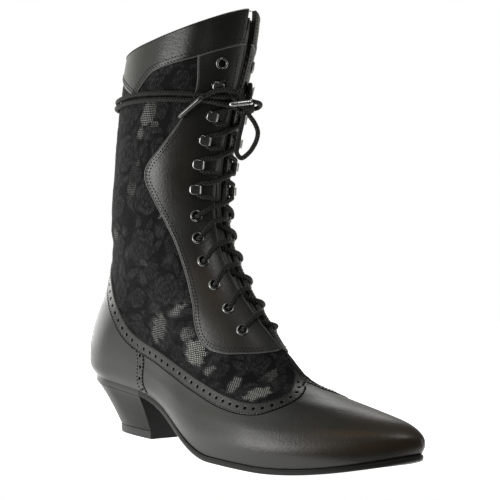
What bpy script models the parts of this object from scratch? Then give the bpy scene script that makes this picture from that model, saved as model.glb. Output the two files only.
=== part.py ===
"""Lace-up boot for the right foot: low tapered heel, pointed toe, calf-high shaft laced in front.

The toe points along +X, the outer side of the foot is at -Y and the floor is z = 0.
Sizes are millimetres and become metres where each mesh is made.
"""

import math

import bmesh
import bpy
import numpy as np
from mathutils import Vector

for old_object in list(bpy.data.objects):
    bpy.data.objects.remove(old_object, do_unlink=True)

# Driving sizes
MM = 0.001
SOLE_LENGTH = 270.0
BALL_WIDTH = 85.0
SHAFT_HEIGHT = 281.0
HEEL_SEAT_HEIGHT = 34.0
TOE_SPRING = 20.0
SOLE_THICKNESS = 3.4
INSOLE_THICKNESS = 2.0
WALL = 2.0
GAP = 0.3
ORIGIN_X = 135.28
ORIGIN_Y = 0.32

# Underside of the sole, seen from the side
BREAST_X = 64.0
BREAST_HEIGHT = 29.0
BALL_START_X = 142.0
BALL_END_X = 176.0
HEEL_SEAT_POWER = 1.3
WAIST_STEEPNESS = 1.1
SPRING_POWER = 1.75

# Edge of the sole: how far it stands out from the feather line, and its profile as shares of that and of
# the thickness, from the upper face down
SOLE_EDGE = 1.7
HEEL_EDGE_SHARE = 0.2
SOLE_PROFILE = ((0.6, 1.0), (1.0, 0.62), (0.5, 0.0))

# Heel: a stack with a flat breast, tapered to a small base. The profile of the lift under it is margin and
# share of height.
HEEL_BASE_X = 64.5
HEEL_BASE_LENGTH = 37.0
HEEL_BASE_HALF = 13.2
HEEL_DROPS = (0.0, 0.22, 0.45, 0.7, 1.0)
HEEL_TAPER_POWER = 0.85
HEEL_BACK_ROUNDNESS, HEEL_SIDE_ROUNDNESS, HEEL_SPREAD = 0.75, 0.85, 0.8
HEEL_SIDES = 22
LIFT_THICKNESS = 5.4
LIFT_PROFILE = ((0.2, 1.0), (0.3, 0.5), (-0.1, 0.0))

# Sections of the last, feather line to collar. Each is a loop from a back point to a front point,
# widest over the heel and over the ball, given for a sole 270 long, a ball 85 wide and a shaft 281 high.
TABLE_LENGTH, TABLE_WIDTH, TABLE_HEIGHT = 270.0, 85.0, 281.0
BACK_X, BACK_Z, FRONT_X, FRONT_Z, HEEL_AT, HEEL_HALF, BALL_AT, BALL_HALF, NOSE = range(9)
SECTIONS = np.array([
    (8.4, 37.4, 267.0, 23.5, 0.11, 26.6, 0.645, 41.0, 1.40),
    (3.0, 43.0, 269.6, 28.8, 0.12, 29.3, 0.645, 42.3, 1.42),
    (1.4, 50.0, 267.0, 34.4, 0.13, 30.0, 0.640, 40.0, 1.46),
    (0.9, 57.0, 257.0, 39.3, 0.14, 30.2, 0.630, 35.5, 1.52),
    (1.3, 64.5, 236.0, 43.0, 0.16, 30.0, 0.610, 32.5, 1.58),
    (2.6, 72.0, 208.0, 47.0, 0.19, 29.6, 0.590, 30.5, 1.62),
    (4.8, 80.0, 183.0, 53.2, 0.23, 29.0, 0.570, 29.5, 1.66),
    (7.8, 89.0, 165.0, 65.2, 0.28, 28.5, 0.550, 28.8, 1.70),
    (11.0, 99.0, 146.0, 83.5, 0.34, 28.2, 0.540, 28.4, 1.72),
    (12.6, 111.0, 125.0, 105.0, 0.40, 28.4, 0.520, 28.4, 1.74),
    (12.6, 126.0, 108.2, 129.0, 0.42, 29.2, 0.500, 29.2, 1.76),
    (11.8, 144.0, 99.8, 153.0, 0.42, 30.6, 0.480, 30.6, 1.76),
    (12.6, 165.0, 98.4, 180.0, 0.42, 32.0, 0.480, 32.0, 1.76),
    (13.2, 190.0, 102.0, 210.0, 0.42, 33.4, 0.480, 33.4, 1.76),
    (14.5, 218.0, 109.4, 245.0, 0.42, 33.8, 0.480, 33.8, 1.76),
    (17.4, 244.5, 116.5, 281.0, 0.42, 33.6, 0.480, 33.6, 1.76),
])
SECTIONS *= np.array([
    SOLE_LENGTH / TABLE_LENGTH, SHAFT_HEIGHT / TABLE_HEIGHT,
    SOLE_LENGTH / TABLE_LENGTH, SHAFT_HEIGHT / TABLE_HEIGHT,
    1.0, BALL_WIDTH / TABLE_WIDTH, 1.0, BALL_WIDTH / TABLE_WIDTH, 1.0])
COLLAR = len(SECTIONS) - 1
COLUMNS_BEHIND_BREAST, COLUMNS_AHEAD = 6, 14
SIDE_COLUMNS = COLUMNS_BEHIND_BREAST + COLUMNS_AHEAD
CLOSED_LEVELS = (0.0, 0.5, 1.0, 1.7, 2.5, 3.4, 4.3, 5.2, 6.0, 6.6, 7.25)
OPEN_LEVELS = (7.5, 7.8, 8.3, 8.9, 9.5, 10.1, 10.7, 11.3, 11.9, 12.5, 13.1, 13.7, 14.2, 14.6, 15.0)
TOE_POWER = 1.75
TOE_TURN = 3.5
FOLLOW_LEVELS = 8.0
FOLLOW_POWER = 1.6
COLLAR_DIP = 3.5
INNER_FLAP_BACK = 5.0
WAIST_AT_INNER, WAIST_SPREAD_INNER, WAIST_PINCH_INNER = 0.40, 0.15, 0.20
WAIST_AT_OUTER, WAIST_SPREAD_OUTER, WAIST_PINCH_OUTER = 0.29, 0.10, 0.13
BALL_SKEW = 0.05

# Steps between the points that a direction on the last is read from
ANGLE_STEP, LEVEL_STEP = 0.02, 0.1

# Throat: half opening at levels of the section table, from its foot up
THROAT_FOOT = CLOSED_LEVELS[-1]
THROAT = np.array([
    (THROAT_FOOT, 0.0), (8.0, 3.6), (9.0, 5.6), (9.7, 6.4), (10.5, 6.0), (11.5, 5.1), (12.4, 3.8),
    (13.4, 2.8), (14.3, 4.0), (15.0, 5.4)])

# Tongue: half width at levels of the section table
TONGUE = np.array([(6.7, 13.0), (8.0, 21.0), (14.2, 24.0), (14.75, 17.0)])
TONGUE_ROWS, TONGUE_COLUMNS = 17, 8
TONGUE_THICKNESS = 1.6

# Fastenings up each side of the throat: kind, level, distance from the middle plane
FASTENINGS = (
    ("eyelet", 7.76, 14.4),
    ("eyelet", 8.38, 15.0),
    ("eyelet", 9.02, 15.4),
    ("eyelet", 9.63, 16.0),
    ("eyelet", 10.23, 15.6),
    ("eyelet", 10.82, 15.0),
    ("hook", 11.48, 15.5),
    ("hook", 12.07, 15.4),
    ("hook", 12.60, 14.2),
    ("hook", 13.09, 13.0),
    ("hook", 13.64, 13.4),
    ("eyelet", 14.05, 13.9),
)
EYELET_BORE, EYELET_BARREL, EYELET_HOLE, EYELET_FLANGE = 2.2, 2.7, 3.05, 4.0
EYELET_RISE = 1.2
EYELET_SIDES = 10
HOOK_SEAT = 0.35
HOOK_METAL = 0.7
HOOK_REACH = 3.4
HOOK_THROAT = 2.9
HOOK_HALF_WIDTH = 2.8
HOOK_LIP_RISE, HOOK_LIP_BACK = 0.3, 0.4

# Lace
LACE_RADIUS = 1.4
LACE_SIDES = 6
EDGE_LIFT = 3.0
CROSS_LIFT = 2.0
FOOT_LIFT = 2.2
HOOK_LIFT = 2.4
LACE_CLEAR = 0.8
CROSSING_OFFSET = 0.45
CROSSING_SPACING = 6.4
CORD_SPACING = 8.2
AGLET_RADIUS = 1.5
KNOT_LEVEL = 13.3
KNOT_LIFT = 10.0
KNOT_RADII = (3.6, 5.4, 4.0)
TURN_BACK = 0.5
UPPER_TURN_RISE, LOWER_TURN_RISE = 2.2, -1.0

# The lace's two turns round the shaft: angle, level, height over the upper. They run from the knot by the
# outer side and the back to the inner side.
UPPER_TURN = (
    (-0.93, 13.47, 6.4), (-0.87, 13.46, 5.0), (-0.79, 13.49, 3.0), (-0.70, 13.57, 2.2), (-0.60, 13.65, 2.2),
    (-0.50, 13.73, 2.2), (-0.40, 13.79, 2.2), (-0.30, 13.82, 2.2), (-0.20, 13.85, 2.2), (-0.10, 13.87, 2.2),
    (0.0, 13.88, 2.2), (0.10, 13.87, 2.2), (0.20, 13.86, 2.2), (0.30, 13.84, 2.2),
    (0.40, 13.80, 2.2), (0.50, 13.74, 2.2), (0.60, 13.66, 2.2), (0.70, 13.58, 2.2), (0.79, 13.49, 3.0),
    (0.87, 13.46, 5.0), (0.93, 13.47, 6.4))
LOWER_TURN = (
    (-0.93, 13.31, 6.4), (-0.87, 13.34, 5.4), (-0.79, 13.40, 3.0), (-0.70, 13.45, 2.2), (-0.60, 13.53, 2.2),
    (-0.50, 13.60, 2.2), (-0.40, 13.65, 2.2), (-0.30, 13.68, 2.2), (-0.20, 13.71, 2.2), (-0.10, 13.73, 2.2),
    (0.0, 13.74, 2.2), (0.10, 13.73, 2.2), (0.20, 13.72, 2.2), (0.30, 13.70, 2.2),
    (0.40, 13.66, 2.2), (0.50, 13.61, 2.2), (0.60, 13.54, 2.2), (0.70, 13.46, 2.2), (0.79, 13.40, 3.0),
    (0.87, 13.34, 5.4), (0.93, 13.31, 6.4))

# The bow loop, the end that lies on the outer side and the end in front, from the knot's middle
BOW_LOOP = (
    (2.0, 1.6, -3.95), (5.0, 3.9, -8.4), (7.0, 5.5, -13.6), (7.2, 5.1, -18.6), (6.0, 3.8, -23.4),
    (4.0, 1.8, -28.0), (0.9, -1.2, -31.4), (-1.6, -3.3, -28.0), (-1.6, -3.2, -22.2), (-1.0, -2.3, -16.0),
    (-0.5, -1.5, -10.0), (-0.4, -0.9, -4.75))
FRONT_END = ((2.6, 7.4, 0.6), (6.4, 6.6, 2.4), (8.8, 3.0, 3.8), (8.6, -1.4, 4.3))
FRONT_AGLET = ((7.9, -3.2, 4.2), (-1.2, -12.8, 1.6))
OUTER_END = (
    (-0.94, 13.56, 11.0), (-0.90, 13.60, 9.6), (-0.86, 13.61, 8.2), (-0.82, 13.58, 7.2), (-0.785, 13.51, 6.8))
OUTER_AGLET = ((-0.765, 13.46, 6.7), (-0.685, 13.14, 2.6))


# The last


def section(level):
    """The section table at a level between its rows, on a smooth curve through them."""
    level = np.clip(np.asarray(level, float), 0, COLLAR)
    low = np.minimum(level.astype(int), COLLAR - 1)
    share = (level - low)[..., None]
    before, start, end, after = (SECTIONS[np.clip(low + step, 0, COLLAR)] for step in (-1, 0, 1, 2))
    bend = 2 * before - 5 * start + 4 * end - after
    twist = 3 * (start - end) + after - before
    return start + 0.5 * share * (end - before + share * (bend + share * twist))


def sole_underside(x):
    """Height of the sole's lower face above the floor at a distance from the heel's back."""
    x = np.asarray(x, float)
    drop = HEEL_SEAT_HEIGHT - BREAST_HEIGHT
    seat = HEEL_SEAT_HEIGHT - drop * np.clip(x / BREAST_X, 0, 1) ** HEEL_SEAT_POWER
    waist_length = BALL_START_X - BREAST_X
    s = np.clip((x - BREAST_X) / waist_length, 0, 1)
    slope = -WAIST_STEEPNESS * HEEL_SEAT_POWER * drop / BREAST_X * waist_length
    waist = BREAST_HEIGHT * (2 * s**3 - 3 * s**2 + 1) + slope * (s**3 - 2 * s**2 + s)
    toe_length = SOLE_LENGTH - BALL_END_X
    toe = TOE_SPRING * np.clip((x - BALL_END_X) / toe_length, 0, None) ** SPRING_POWER
    return np.where(x < BREAST_X, seat, np.where(x < BALL_START_X, waist, toe))


def sole_upperside(x):
    return sole_underside(x) + SOLE_THICKNESS


SECTIONS[0, BACK_Z] = sole_upperside(SECTIONS[0, BACK_X]) + GAP
SECTIONS[0, FRONT_Z] = sole_upperside(SECTIONS[0, FRONT_X]) + GAP


# Columns down each side, as shares of the way from back to front; one stands at the heel's breast
BREAST_LENGTH_SHARE = (BREAST_X - SECTIONS[0, BACK_X]) / (SECTIONS[0, FRONT_X] - SECTIONS[0, BACK_X])
BREAST_ANGLE = math.acos(1 - 2 * BREAST_LENGTH_SHARE) / math.pi
SIDE_SHARES = np.concatenate([
    np.linspace(0, BREAST_ANGLE, COLUMNS_BEHIND_BREAST + 1)[:-1],
    np.linspace(BREAST_ANGLE, 1, COLUMNS_AHEAD + 1)])


def arch(share):
    """How far the sole's upper face lies above the straight line from heel to toe."""
    back_x, front_x = SECTIONS[0, BACK_X], SECTIONS[0, FRONT_X]
    x = back_x + (front_x - back_x) * share
    straight = sole_upperside(back_x) * (1 - share) + sole_upperside(front_x) * share
    return sole_upperside(x) - straight


def half_width(row, share, skew):
    """Half width of a section; the skew puts the inner ball ahead of the outer one."""
    heel_at, heel_half = row[..., HEEL_AT], row[..., HEEL_HALF]
    ball_at, ball_half = row[..., BALL_AT] + skew, row[..., BALL_HALF]
    behind = np.clip((heel_at - share) / heel_at, 0, 1)
    ahead = np.clip((share - ball_at) / (1 - ball_at), 0, 1)
    between = np.clip((share - heel_at) / (ball_at - heel_at), 0, 1)
    heel = heel_half * np.sqrt(1 - behind**2)
    toe = ball_half * (1 - ahead**TOE_POWER) ** (1 / row[..., NOSE])
    middle = heel_half + (ball_half - heel_half) * between**2 * (3 - 2 * between)
    return np.where(share < heel_at, heel, np.where(share > ball_at, toe, middle))


def last_point(angle, level):
    """A point of the outside: angle 0 is the back, -1 the front by the outer side, +1 by the inner."""
    angle, level = np.broadcast_arrays(np.asarray(angle, float), np.asarray(level, float))
    row = section(level)
    share = 0.5 - 0.5 * np.cos(math.pi * np.abs(angle))
    follow = np.clip(1 - level / FOLLOW_LEVELS, 0, 1) ** FOLLOW_POWER
    inner_pinch = WAIST_PINCH_INNER * np.exp(-(((share - WAIST_AT_INNER) / WAIST_SPREAD_INNER) ** 2))
    outer_pinch = WAIST_PINCH_OUTER * np.exp(-(((share - WAIST_AT_OUTER) / WAIST_SPREAD_OUTER) ** 2))
    skew = follow * BALL_SKEW * np.sign(angle)
    width = half_width(row, share, skew) * (1 - follow * np.where(angle > 0, inner_pinch, outer_pinch))
    collar = np.clip(level - (COLLAR - 1), 0, 1) ** 2
    dip = COLLAR_DIP * collar * 4 * share * (1 - share)
    flap = np.where(angle > 0, INNER_FLAP_BACK, 0.0) * collar * share**4
    x = row[..., BACK_X] + (row[..., FRONT_X] - row[..., BACK_X]) * share - flap
    y = np.sign(angle) * width + follow * TOE_TURN * share**4
    z = row[..., BACK_Z] + (row[..., FRONT_Z] - row[..., BACK_Z]) * share + follow * arch(share) - dip
    return np.stack([x, y, z], -1)


def wrapped(angle):
    """Angles past the front continue down the other side."""
    return np.where(angle > 1, angle - 2, np.where(angle < -1, angle + 2, angle))


def last_normal(angle, level):
    angle, level = np.broadcast_arrays(np.asarray(angle, float), np.asarray(level, float))
    along = last_point(wrapped(angle + ANGLE_STEP), level) - last_point(wrapped(angle - ANGLE_STEP), level)
    over, under = np.clip(level + LEVEL_STEP, 0, COLLAR), np.clip(level - LEVEL_STEP, 0, COLLAR)
    normal = np.cross(last_point(angle, over) - last_point(angle, under), along)
    return normal / np.linalg.norm(normal, axis=-1, keepdims=True)


def above(angle, level, height):
    """A point at a height over the upper's outside; a negative height lies in the wall or inside it."""
    return last_point(angle, level) + last_normal(angle, level) * np.asarray(height, float)[..., None]


def front_angle(level, reach):
    """The angle at which a section is this far from the middle plane, measured on its front part."""
    level, reach = np.broadcast_arrays(np.asarray(level, float), np.asarray(reach, float))
    near, far = np.full(level.shape, 0.5), np.ones(level.shape)
    for _ in range(30):
        middle = 0.5 * (near + far)
        wide = np.abs(last_point(-middle, level)[..., 1]) > reach
        near = np.where(wide, middle, near)
        far = np.where(wide, far, middle)
    return np.where(reach > 0, 0.5 * (near + far), 1.0)


def throat_half(level):
    return np.interp(level, THROAT[:, 0], THROAT[:, 1])


# Meshes and materials


def material(name, colour, roughness, metallic=0.0):
    made = bpy.data.materials.new(name)
    made.use_nodes = True
    shader = made.node_tree.nodes["Principled BSDF"]
    shader.inputs["Base Color"].default_value = (*colour, 1.0)
    shader.inputs["Roughness"].default_value = roughness
    shader.inputs["Metallic"].default_value = metallic
    return made


BLACK_LEATHER = material("black_leather", (0.016, 0.015, 0.015), 0.38)
SOLE_LEATHER = material("sole_leather", (0.022, 0.019, 0.017), 0.55)
HEEL_STACK = material("heel_stack", (0.014, 0.013, 0.013), 0.42)
TOP_LIFT = material("top_lift_rubber", (0.02, 0.02, 0.02), 0.75)
LINING = material("grey_lining", (0.30, 0.29, 0.28), 0.8)
GUNMETAL = material("gunmetal", (0.05, 0.05, 0.055), 0.3, 0.9)
LACE_CORD = material("lace_cord", (0.012, 0.012, 0.013), 0.85)
AGLET = material("aglet_plastic", (0.10, 0.10, 0.11), 0.3)


def placed(points):
    return (np.asarray(points, float).reshape(-1, 3) - (ORIGIN_X, ORIGIN_Y, 0.0)) * MM


def mesh_object(name, points, faces, look, crease_degrees=40):
    mesh = bpy.data.meshes.new(name)
    mesh.from_pydata([tuple(point) for point in placed(points)], [], faces)
    shape = bmesh.new()
    shape.from_mesh(mesh)
    bmesh.ops.recalc_face_normals(shape, faces=shape.faces)
    shape.to_mesh(mesh)
    shape.free()
    mesh.shade_smooth()
    mesh.set_sharp_from_angle(angle=math.radians(crease_degrees))
    mesh.materials.append(look)
    made = bpy.data.objects.new(name, mesh)
    bpy.context.scene.collection.objects.link(made)
    return made


def loft(name, rings, look, crease_degrees=40):
    """A closed solid through rings of equal size, its two ends closed by strips across the ring."""
    rings = [np.asarray(ring, float) for ring in rings]
    size = len(rings[0])
    faces = []
    for index in range(len(rings) - 1):
        for corner in range(size):
            after = (corner + 1) % size
            low, high = index * size, (index + 1) * size
            faces.append((low + corner, low + after, high + after, high + corner))
    for base in (0, (len(rings) - 1) * size):
        for step in range((size - 1) // 2):
            strip = (step, step + 1, size - 2 - step, size - 1 - step)
            faces.append([base + corner for corner in dict.fromkeys(strip)])
    return mesh_object(name, np.concatenate(rings), faces, look, crease_degrees)


# Upper


def build_upper():
    """One wall from the feather line to the collar, slit down the front from collar to throat foot."""
    levels = np.array(CLOSED_LEVELS + OPEN_LEVELS)
    last_closed = len(CLOSED_LEVELS) - 1
    columns = 2 * SIDE_COLUMNS
    edge = np.where(levels <= THROAT_FOOT, 1.0, front_angle(levels, throat_half(levels)))
    angles = edge[:, None] * np.concatenate([-SIDE_SHARES[:0:-1], SIDE_SHARES])[None, :]
    outside = above(angles, levels[:, None], np.zeros_like(angles))
    inside = above(angles, levels[:, None], np.full_like(angles, -WALL))
    sides = ("out", "in")
    points, number = [], {}
    for side, grid in zip(sides, (outside, inside)):
        for row in range(len(levels)):
            for column in range(columns + 1):
                if column == columns and row <= last_closed:
                    number[side, row, column] = number[side, row, 0]
                    continue
                number[side, row, column] = len(points)
                points.append(grid[row, column])
    faces = []
    for row in range(len(levels) - 1):
        for column in range(columns):
            corners = ((row, column), (row, column + 1), (row + 1, column + 1), (row + 1, column))
            faces.append([number["out", *corner] for corner in corners])
            faces.append([number["in", *corner] for corner in reversed(corners)])
    for row in (0, len(levels) - 1):
        for column in range(columns):
            rim_out, rim_in = ([number[side, row, at] for at in (column, column + 1)] for side in sides)
            faces.append(rim_out + rim_in[::-1])
    for column in (0, columns):
        for row in range(last_closed, len(levels) - 1):
            rim_out, rim_in = ([number[side, at, column] for at in (row, row + 1)] for side in sides)
            faces.append(rim_out + rim_in[::-1])
    return mesh_object("upper", points, faces, BLACK_LEATHER)


def build_tongue():
    """A leaf under the throat, from behind the vamp to just below the collar."""
    levels = np.linspace(TONGUE[0, 0], TONGUE[-1, 0], TONGUE_ROWS)
    edge = front_angle(levels, np.interp(levels, TONGUE[:, 0], TONGUE[:, 1]))
    across = np.linspace(-1, 1, TONGUE_COLUMNS + 1)
    # from the outer side over the front to the inner side
    angles = np.sign(across)[None, :] * (1 - (1 - edge[:, None]) * np.abs(across)[None, :])
    angles[:, TONGUE_COLUMNS // 2] = 1.0
    depth = WALL + 2 * GAP
    front = above(angles, levels[:, None], np.full_like(angles, -depth))
    rear = above(angles, levels[:, None], np.full_like(angles, -depth - TONGUE_THICKNESS))
    rings = [np.concatenate([front[row], rear[row][::-1]]) for row in range(len(levels))]
    return loft("tongue", rings, BLACK_LEATHER)


# Sole, heel and insole


def plan_outline(angles, margin):
    """Plan of the feather line moved outwards by a margin."""
    foot = last_point(angles, 0.0)[:, :2]
    ahead, behind = (last_point(wrapped(angles + step), 0.0)[:, :2] for step in (ANGLE_STEP, -ANGLE_STEP))
    along = (ahead - behind) / np.linalg.norm(ahead - behind, axis=1, keepdims=True)
    return foot + margin * np.stack([-along[:, 1], along[:, 0]], 1)


def sole_outline(angles, margin):
    """Plan of the sole: its edge shows most round the toe and ball, and least at the waist and heel."""
    forward = np.clip((last_point(angles, 0.0)[:, 0] - BREAST_X) / (BALL_START_X - BREAST_X), 0, 1)
    return plan_outline(angles, margin * (HEEL_EDGE_SHARE + (1 - HEEL_EDGE_SHARE) * forward)[:, None])


def side_to_side_solid(name, outline_of, layers, look):
    """A plate that follows the sole. Layers are margin and height over its underside, from the top down."""
    count = SIDE_COLUMNS
    points, faces, start = [], [], []
    for margin, height in layers:
        start.append(len(points))
        outer = outline_of(-SIDE_SHARES, margin)
        inner = outline_of(SIDE_SHARES, margin)
        middle_back = 0.5 * (outer[0] + inner[0])
        middle_front = 0.5 * (outer[-1] + inner[-1])
        ring = [middle_back, *inner[1:-1], middle_front, *outer[-2:0:-1]]
        points.extend((x, y, float(sole_underside(x)) + height) for x, y in ring)
    size = 2 * count
    for low, high in zip(start[1:], start[:-1]):
        for corner in range(size):
            after = (corner + 1) % size
            faces.append((low + corner, low + after, high + after, high + corner))
    for base in (start[0], start[-1]):
        faces.append((base, base + 1, base + size - 1))
        for step in range(1, count - 1):
            faces.append((base + step, base + step + 1, base + size - step - 1, base + size - step))
        faces.append((base + count - 1, base + count, base + count + 1))
    return mesh_object(name, points, faces, look)


def build_outsole():
    layers = [(edge * SOLE_EDGE, share * SOLE_THICKNESS) for edge, share in SOLE_PROFILE]
    return side_to_side_solid("outsole", sole_outline, layers, SOLE_LEATHER)


def build_insole():
    margin = -WALL - 2 * GAP
    under = SOLE_THICKNESS + GAP
    layers = ((margin, under + INSOLE_THICKNESS), (margin, under))
    return side_to_side_solid("insole", plan_outline, layers, LINING)


def heel_ring(drop, margin=0.0):
    """Plan of the heel at a share of the way down, from the outer breast corner round the back."""
    turn = np.linspace(-1, 1, HEEL_SIDES + 1)
    top = plan_outline(turn * BREAST_ANGLE, margin)
    swing = np.abs(turn) ** HEEL_SPREAD * np.sign(turn) * math.pi / 2
    base_x = HEEL_BASE_X - (HEEL_BASE_LENGTH + margin) * np.cos(swing) ** HEEL_BACK_ROUNDNESS
    base_y = (HEEL_BASE_HALF + margin) * np.sign(swing) * np.abs(np.sin(swing)) ** HEEL_SIDE_ROUNDNESS
    base = np.stack([base_x, base_y], 1)
    return top * (1 - drop) + base * drop


def build_heel():
    rings = []
    for drop in HEEL_DROPS:
        plan = heel_ring(drop**HEEL_TAPER_POWER)
        top = sole_underside(plan[:, 0]) - 1.5 * GAP
        foot = LIFT_THICKNESS + GAP
        rings.append(np.column_stack([plan, top * (1 - drop) + foot * drop]))
    return loft("heel_block", rings, HEEL_STACK)


def build_top_lift():
    rings = []
    for margin, share in LIFT_PROFILE:
        plan = heel_ring(1.0, margin)
        rings.append(np.column_stack([plan, np.full(len(plan), share * LIFT_THICKNESS)]))
    return loft("heel_top_lift", rings, TOP_LIFT)


# Fastenings


def seat(kind_row, side):
    """Place, outward direction, direction up the throat and direction away from it, for one fastening."""
    _, level, reach = kind_row
    angle = side * float(front_angle(level, reach))
    out = Vector(last_normal(angle, level))
    up = Vector(last_point(angle, level + LEVEL_STEP) - last_point(angle, level - LEVEL_STEP)).normalized()
    away = up.cross(out).normalized()
    if away.y * side < 0:
        away.negate()
    return Vector(last_point(angle, level)), out, up, away


def turned(centre, out, up, profile, sides):
    """Rings of points turned about an outward axis, from a profile of radius and height."""
    across = out.cross(up).normalized()
    rings = []
    for step in range(sides):
        swing = 2 * math.pi * step / sides
        ray = up * math.cos(swing) + across * math.sin(swing)
        rings.append([centre + ray * radius + out * height for radius, height in profile])
    return rings


def build_eyelet(name, place):
    centre, out, up, _ = place
    profile = (
        (EYELET_BORE, EYELET_RISE),
        (EYELET_FLANGE, 0.5 * EYELET_RISE + GAP),
        (EYELET_FLANGE, GAP),
        (EYELET_BARREL, GAP),
        (EYELET_BARREL, -WALL),
        (EYELET_BORE, -WALL),
    )
    rings = turned(centre, out, up, profile, EYELET_SIDES)
    count = len(profile)
    points = [point for ring in rings for point in ring]
    faces = []
    for step in range(EYELET_SIDES):
        after = (step + 1) % EYELET_SIDES
        for corner in range(count):
            nearby = (corner + 1) % count
            faces.append((step * count + corner, after * count + corner, after * count + nearby,
                          step * count + nearby))
    return mesh_object(name, points, faces, GUNMETAL, 50)


def build_hook(name, place):
    """A strip bent into a C that opens away from the throat, standing on its foot plate."""
    centre, out, up, away = place
    turn_radius = 0.5 * HOOK_THROAT
    outside_radius = turn_radius + HOOK_METAL
    bend_away = -HOOK_REACH + outside_radius
    bend_height = HOOK_SEAT + outside_radius
    swings = np.linspace(-0.5, -1.5, 6) * math.pi
    outer, inner = (
        [(bend_away + radius * math.cos(swing), bend_height + radius * math.sin(swing)) for swing in swings]
        for radius in (outside_radius, turn_radius))
    lip_out = (HOOK_REACH - HOOK_LIP_BACK, bend_height + outside_radius + HOOK_LIP_RISE)
    lip_in = (HOOK_REACH - HOOK_LIP_BACK, bend_height + turn_radius + HOOK_LIP_RISE)
    foot_low = (HOOK_REACH, HOOK_SEAT)
    foot_high = (HOOK_REACH, HOOK_SEAT + HOOK_METAL)
    strip = [foot_low, *outer, lip_out, lip_in, *inner[::-1], foot_high]
    sides = []
    for width in (-HOOK_HALF_WIDTH, HOOK_HALF_WIDTH):
        sides.append([centre + away * across + out * height + up * width for across, height in strip])
    count = len(strip)
    half = count // 2
    faces = []
    for corner in range(count):
        after = (corner + 1) % count
        faces.append((corner, after, count + after, count + corner))
    for base in (0, count):
        for step in range(half - 1):
            faces.append((base + step, base + step + 1, base + count - 2 - step, base + count - 1 - step))
    return mesh_object(name, [tuple(point) for side in sides for point in side], faces, GUNMETAL, 35)


def cut_eyelet_holes(upper, places):
    for number, (centre, out, up, _) in enumerate(places):
        rings = turned(centre, out, up, ((EYELET_HOLE, -3 * WALL), (EYELET_HOLE, 3 * WALL)), EYELET_SIDES)
        low = [ring[0] for ring in rings]
        high = [ring[1] for ring in rings]
        cutter = loft(f"eyelet_hole_{number}", [np.array(low), np.array(high)], GUNMETAL)
        cutter.hide_render = True
        cutter.display_type = "WIRE"
        cut = upper.modifiers.new(cutter.name, "BOOLEAN")
        cut.operation = "DIFFERENCE"
        cut.solver = "EXACT"
        cut.object = cutter


# Lace


def smooth_route(points, spacing):
    """Points at a spacing along a smooth curve through the route's own points."""
    route = np.asarray(points, float)
    padded = np.vstack([2 * route[0] - route[1], route, 2 * route[-1] - route[-2]])
    fine = []
    for start in range(1, len(padded) - 2):
        before, here, there, after = padded[start - 1:start + 3]
        for share in np.linspace(0, 1, 24, endpoint=False):
            bend = 2 * before - 5 * here + 4 * there - after
            twist = 3 * (here - there) + after - before
            fine.append(here + 0.5 * share * (there - before + share * (bend + share * twist)))
    fine.append(route[-1])
    fine = np.array(fine)
    run = np.concatenate([[0], np.cumsum(np.linalg.norm(np.diff(fine, axis=0), axis=1))])
    stops = np.linspace(0, run[-1], max(2, int(round(run[-1] / spacing)) + 1))
    return np.column_stack([np.interp(stops, run, fine[:, axis]) for axis in range(3)])


def cord(name, route, radius, look, spacing):
    curve = bpy.data.curves.new(name, "CURVE")
    curve.dimensions = "3D"
    curve.bevel_depth = radius * MM
    curve.bevel_resolution = 2
    curve.use_fill_caps = True
    stops = placed(smooth_route(route, spacing))
    line = curve.splines.new("POLY")
    line.points.add(len(stops) - 1)
    for point, stop in zip(line.points, stops):
        point.co = (*stop, 1.0)
    curve.materials.append(look)
    made = bpy.data.objects.new(name, curve)
    bpy.context.scene.collection.objects.link(made)
    return made


def tube_rings(stops, radius, sides):
    """Rings round a path, each turned as little as possible from the one before."""
    stops = [Vector(stop) for stop in stops]
    heading = (stops[1] - stops[0]).normalized()
    spoke = heading.orthogonal().normalized()
    rings = []
    for index, stop in enumerate(stops):
        ahead = stops[min(index + 1, len(stops) - 1)]
        behind = stops[max(index - 1, 0)]
        heading = (ahead - behind).normalized()
        spoke = (spoke - heading * spoke.dot(heading)).normalized()
        other = heading.cross(spoke)
        ring = []
        for step in range(sides):
            swing = 2 * math.pi * step / sides
            ring.append(stop + (spoke * math.cos(swing) + other * math.sin(swing)) * radius)
        rings.append(np.array([tuple(point) for point in ring]))
    return rings


LACED = FASTENINGS[:11]


def lace_stop(index, side):
    """Where a crossing ends: over an eyelet's ring, or beside a hook's bend on its throat side."""
    row = LACED[index]
    centre, out, _, away = seat(row, side)
    if row[0] == "eyelet":
        return centre + out * (EYELET_RISE + LACE_RADIUS + LACE_CLEAR)
    return centre + out * (HOOK_SEAT + HOOK_LIFT) - away * (HOOK_REACH + LACE_RADIUS + LACE_CLEAR)


def over_facing(from_index, to_index, side, lift):
    """A point over the facing's edge, between a fastening and the crossing next to it."""
    level = 0.75 * LACED[from_index][1] + 0.25 * LACED[to_index][1]
    angle = side * float(front_angle(level, 0.5 * LACED[from_index][2]))
    return tuple(above(angle, level, EDGE_LIFT + lift))


def crossing_route(first_side, lift):
    """One half of the lace, up the throat from side to side."""
    route = []
    side = first_side
    for index in range(len(LACED)):
        if index > 0:
            route.append(over_facing(index, index - 1, side, lift))
        route.append(tuple(lace_stop(index, side)))
        if index + 1 < len(LACED):
            level = 0.5 * (LACED[index][1] + LACED[index + 1][1])
            route.append(over_facing(index, index + 1, side, lift))
            route.append(tuple(above(1.0, level, CROSS_LIFT + lift)))
        side = -side
    return route


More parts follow.
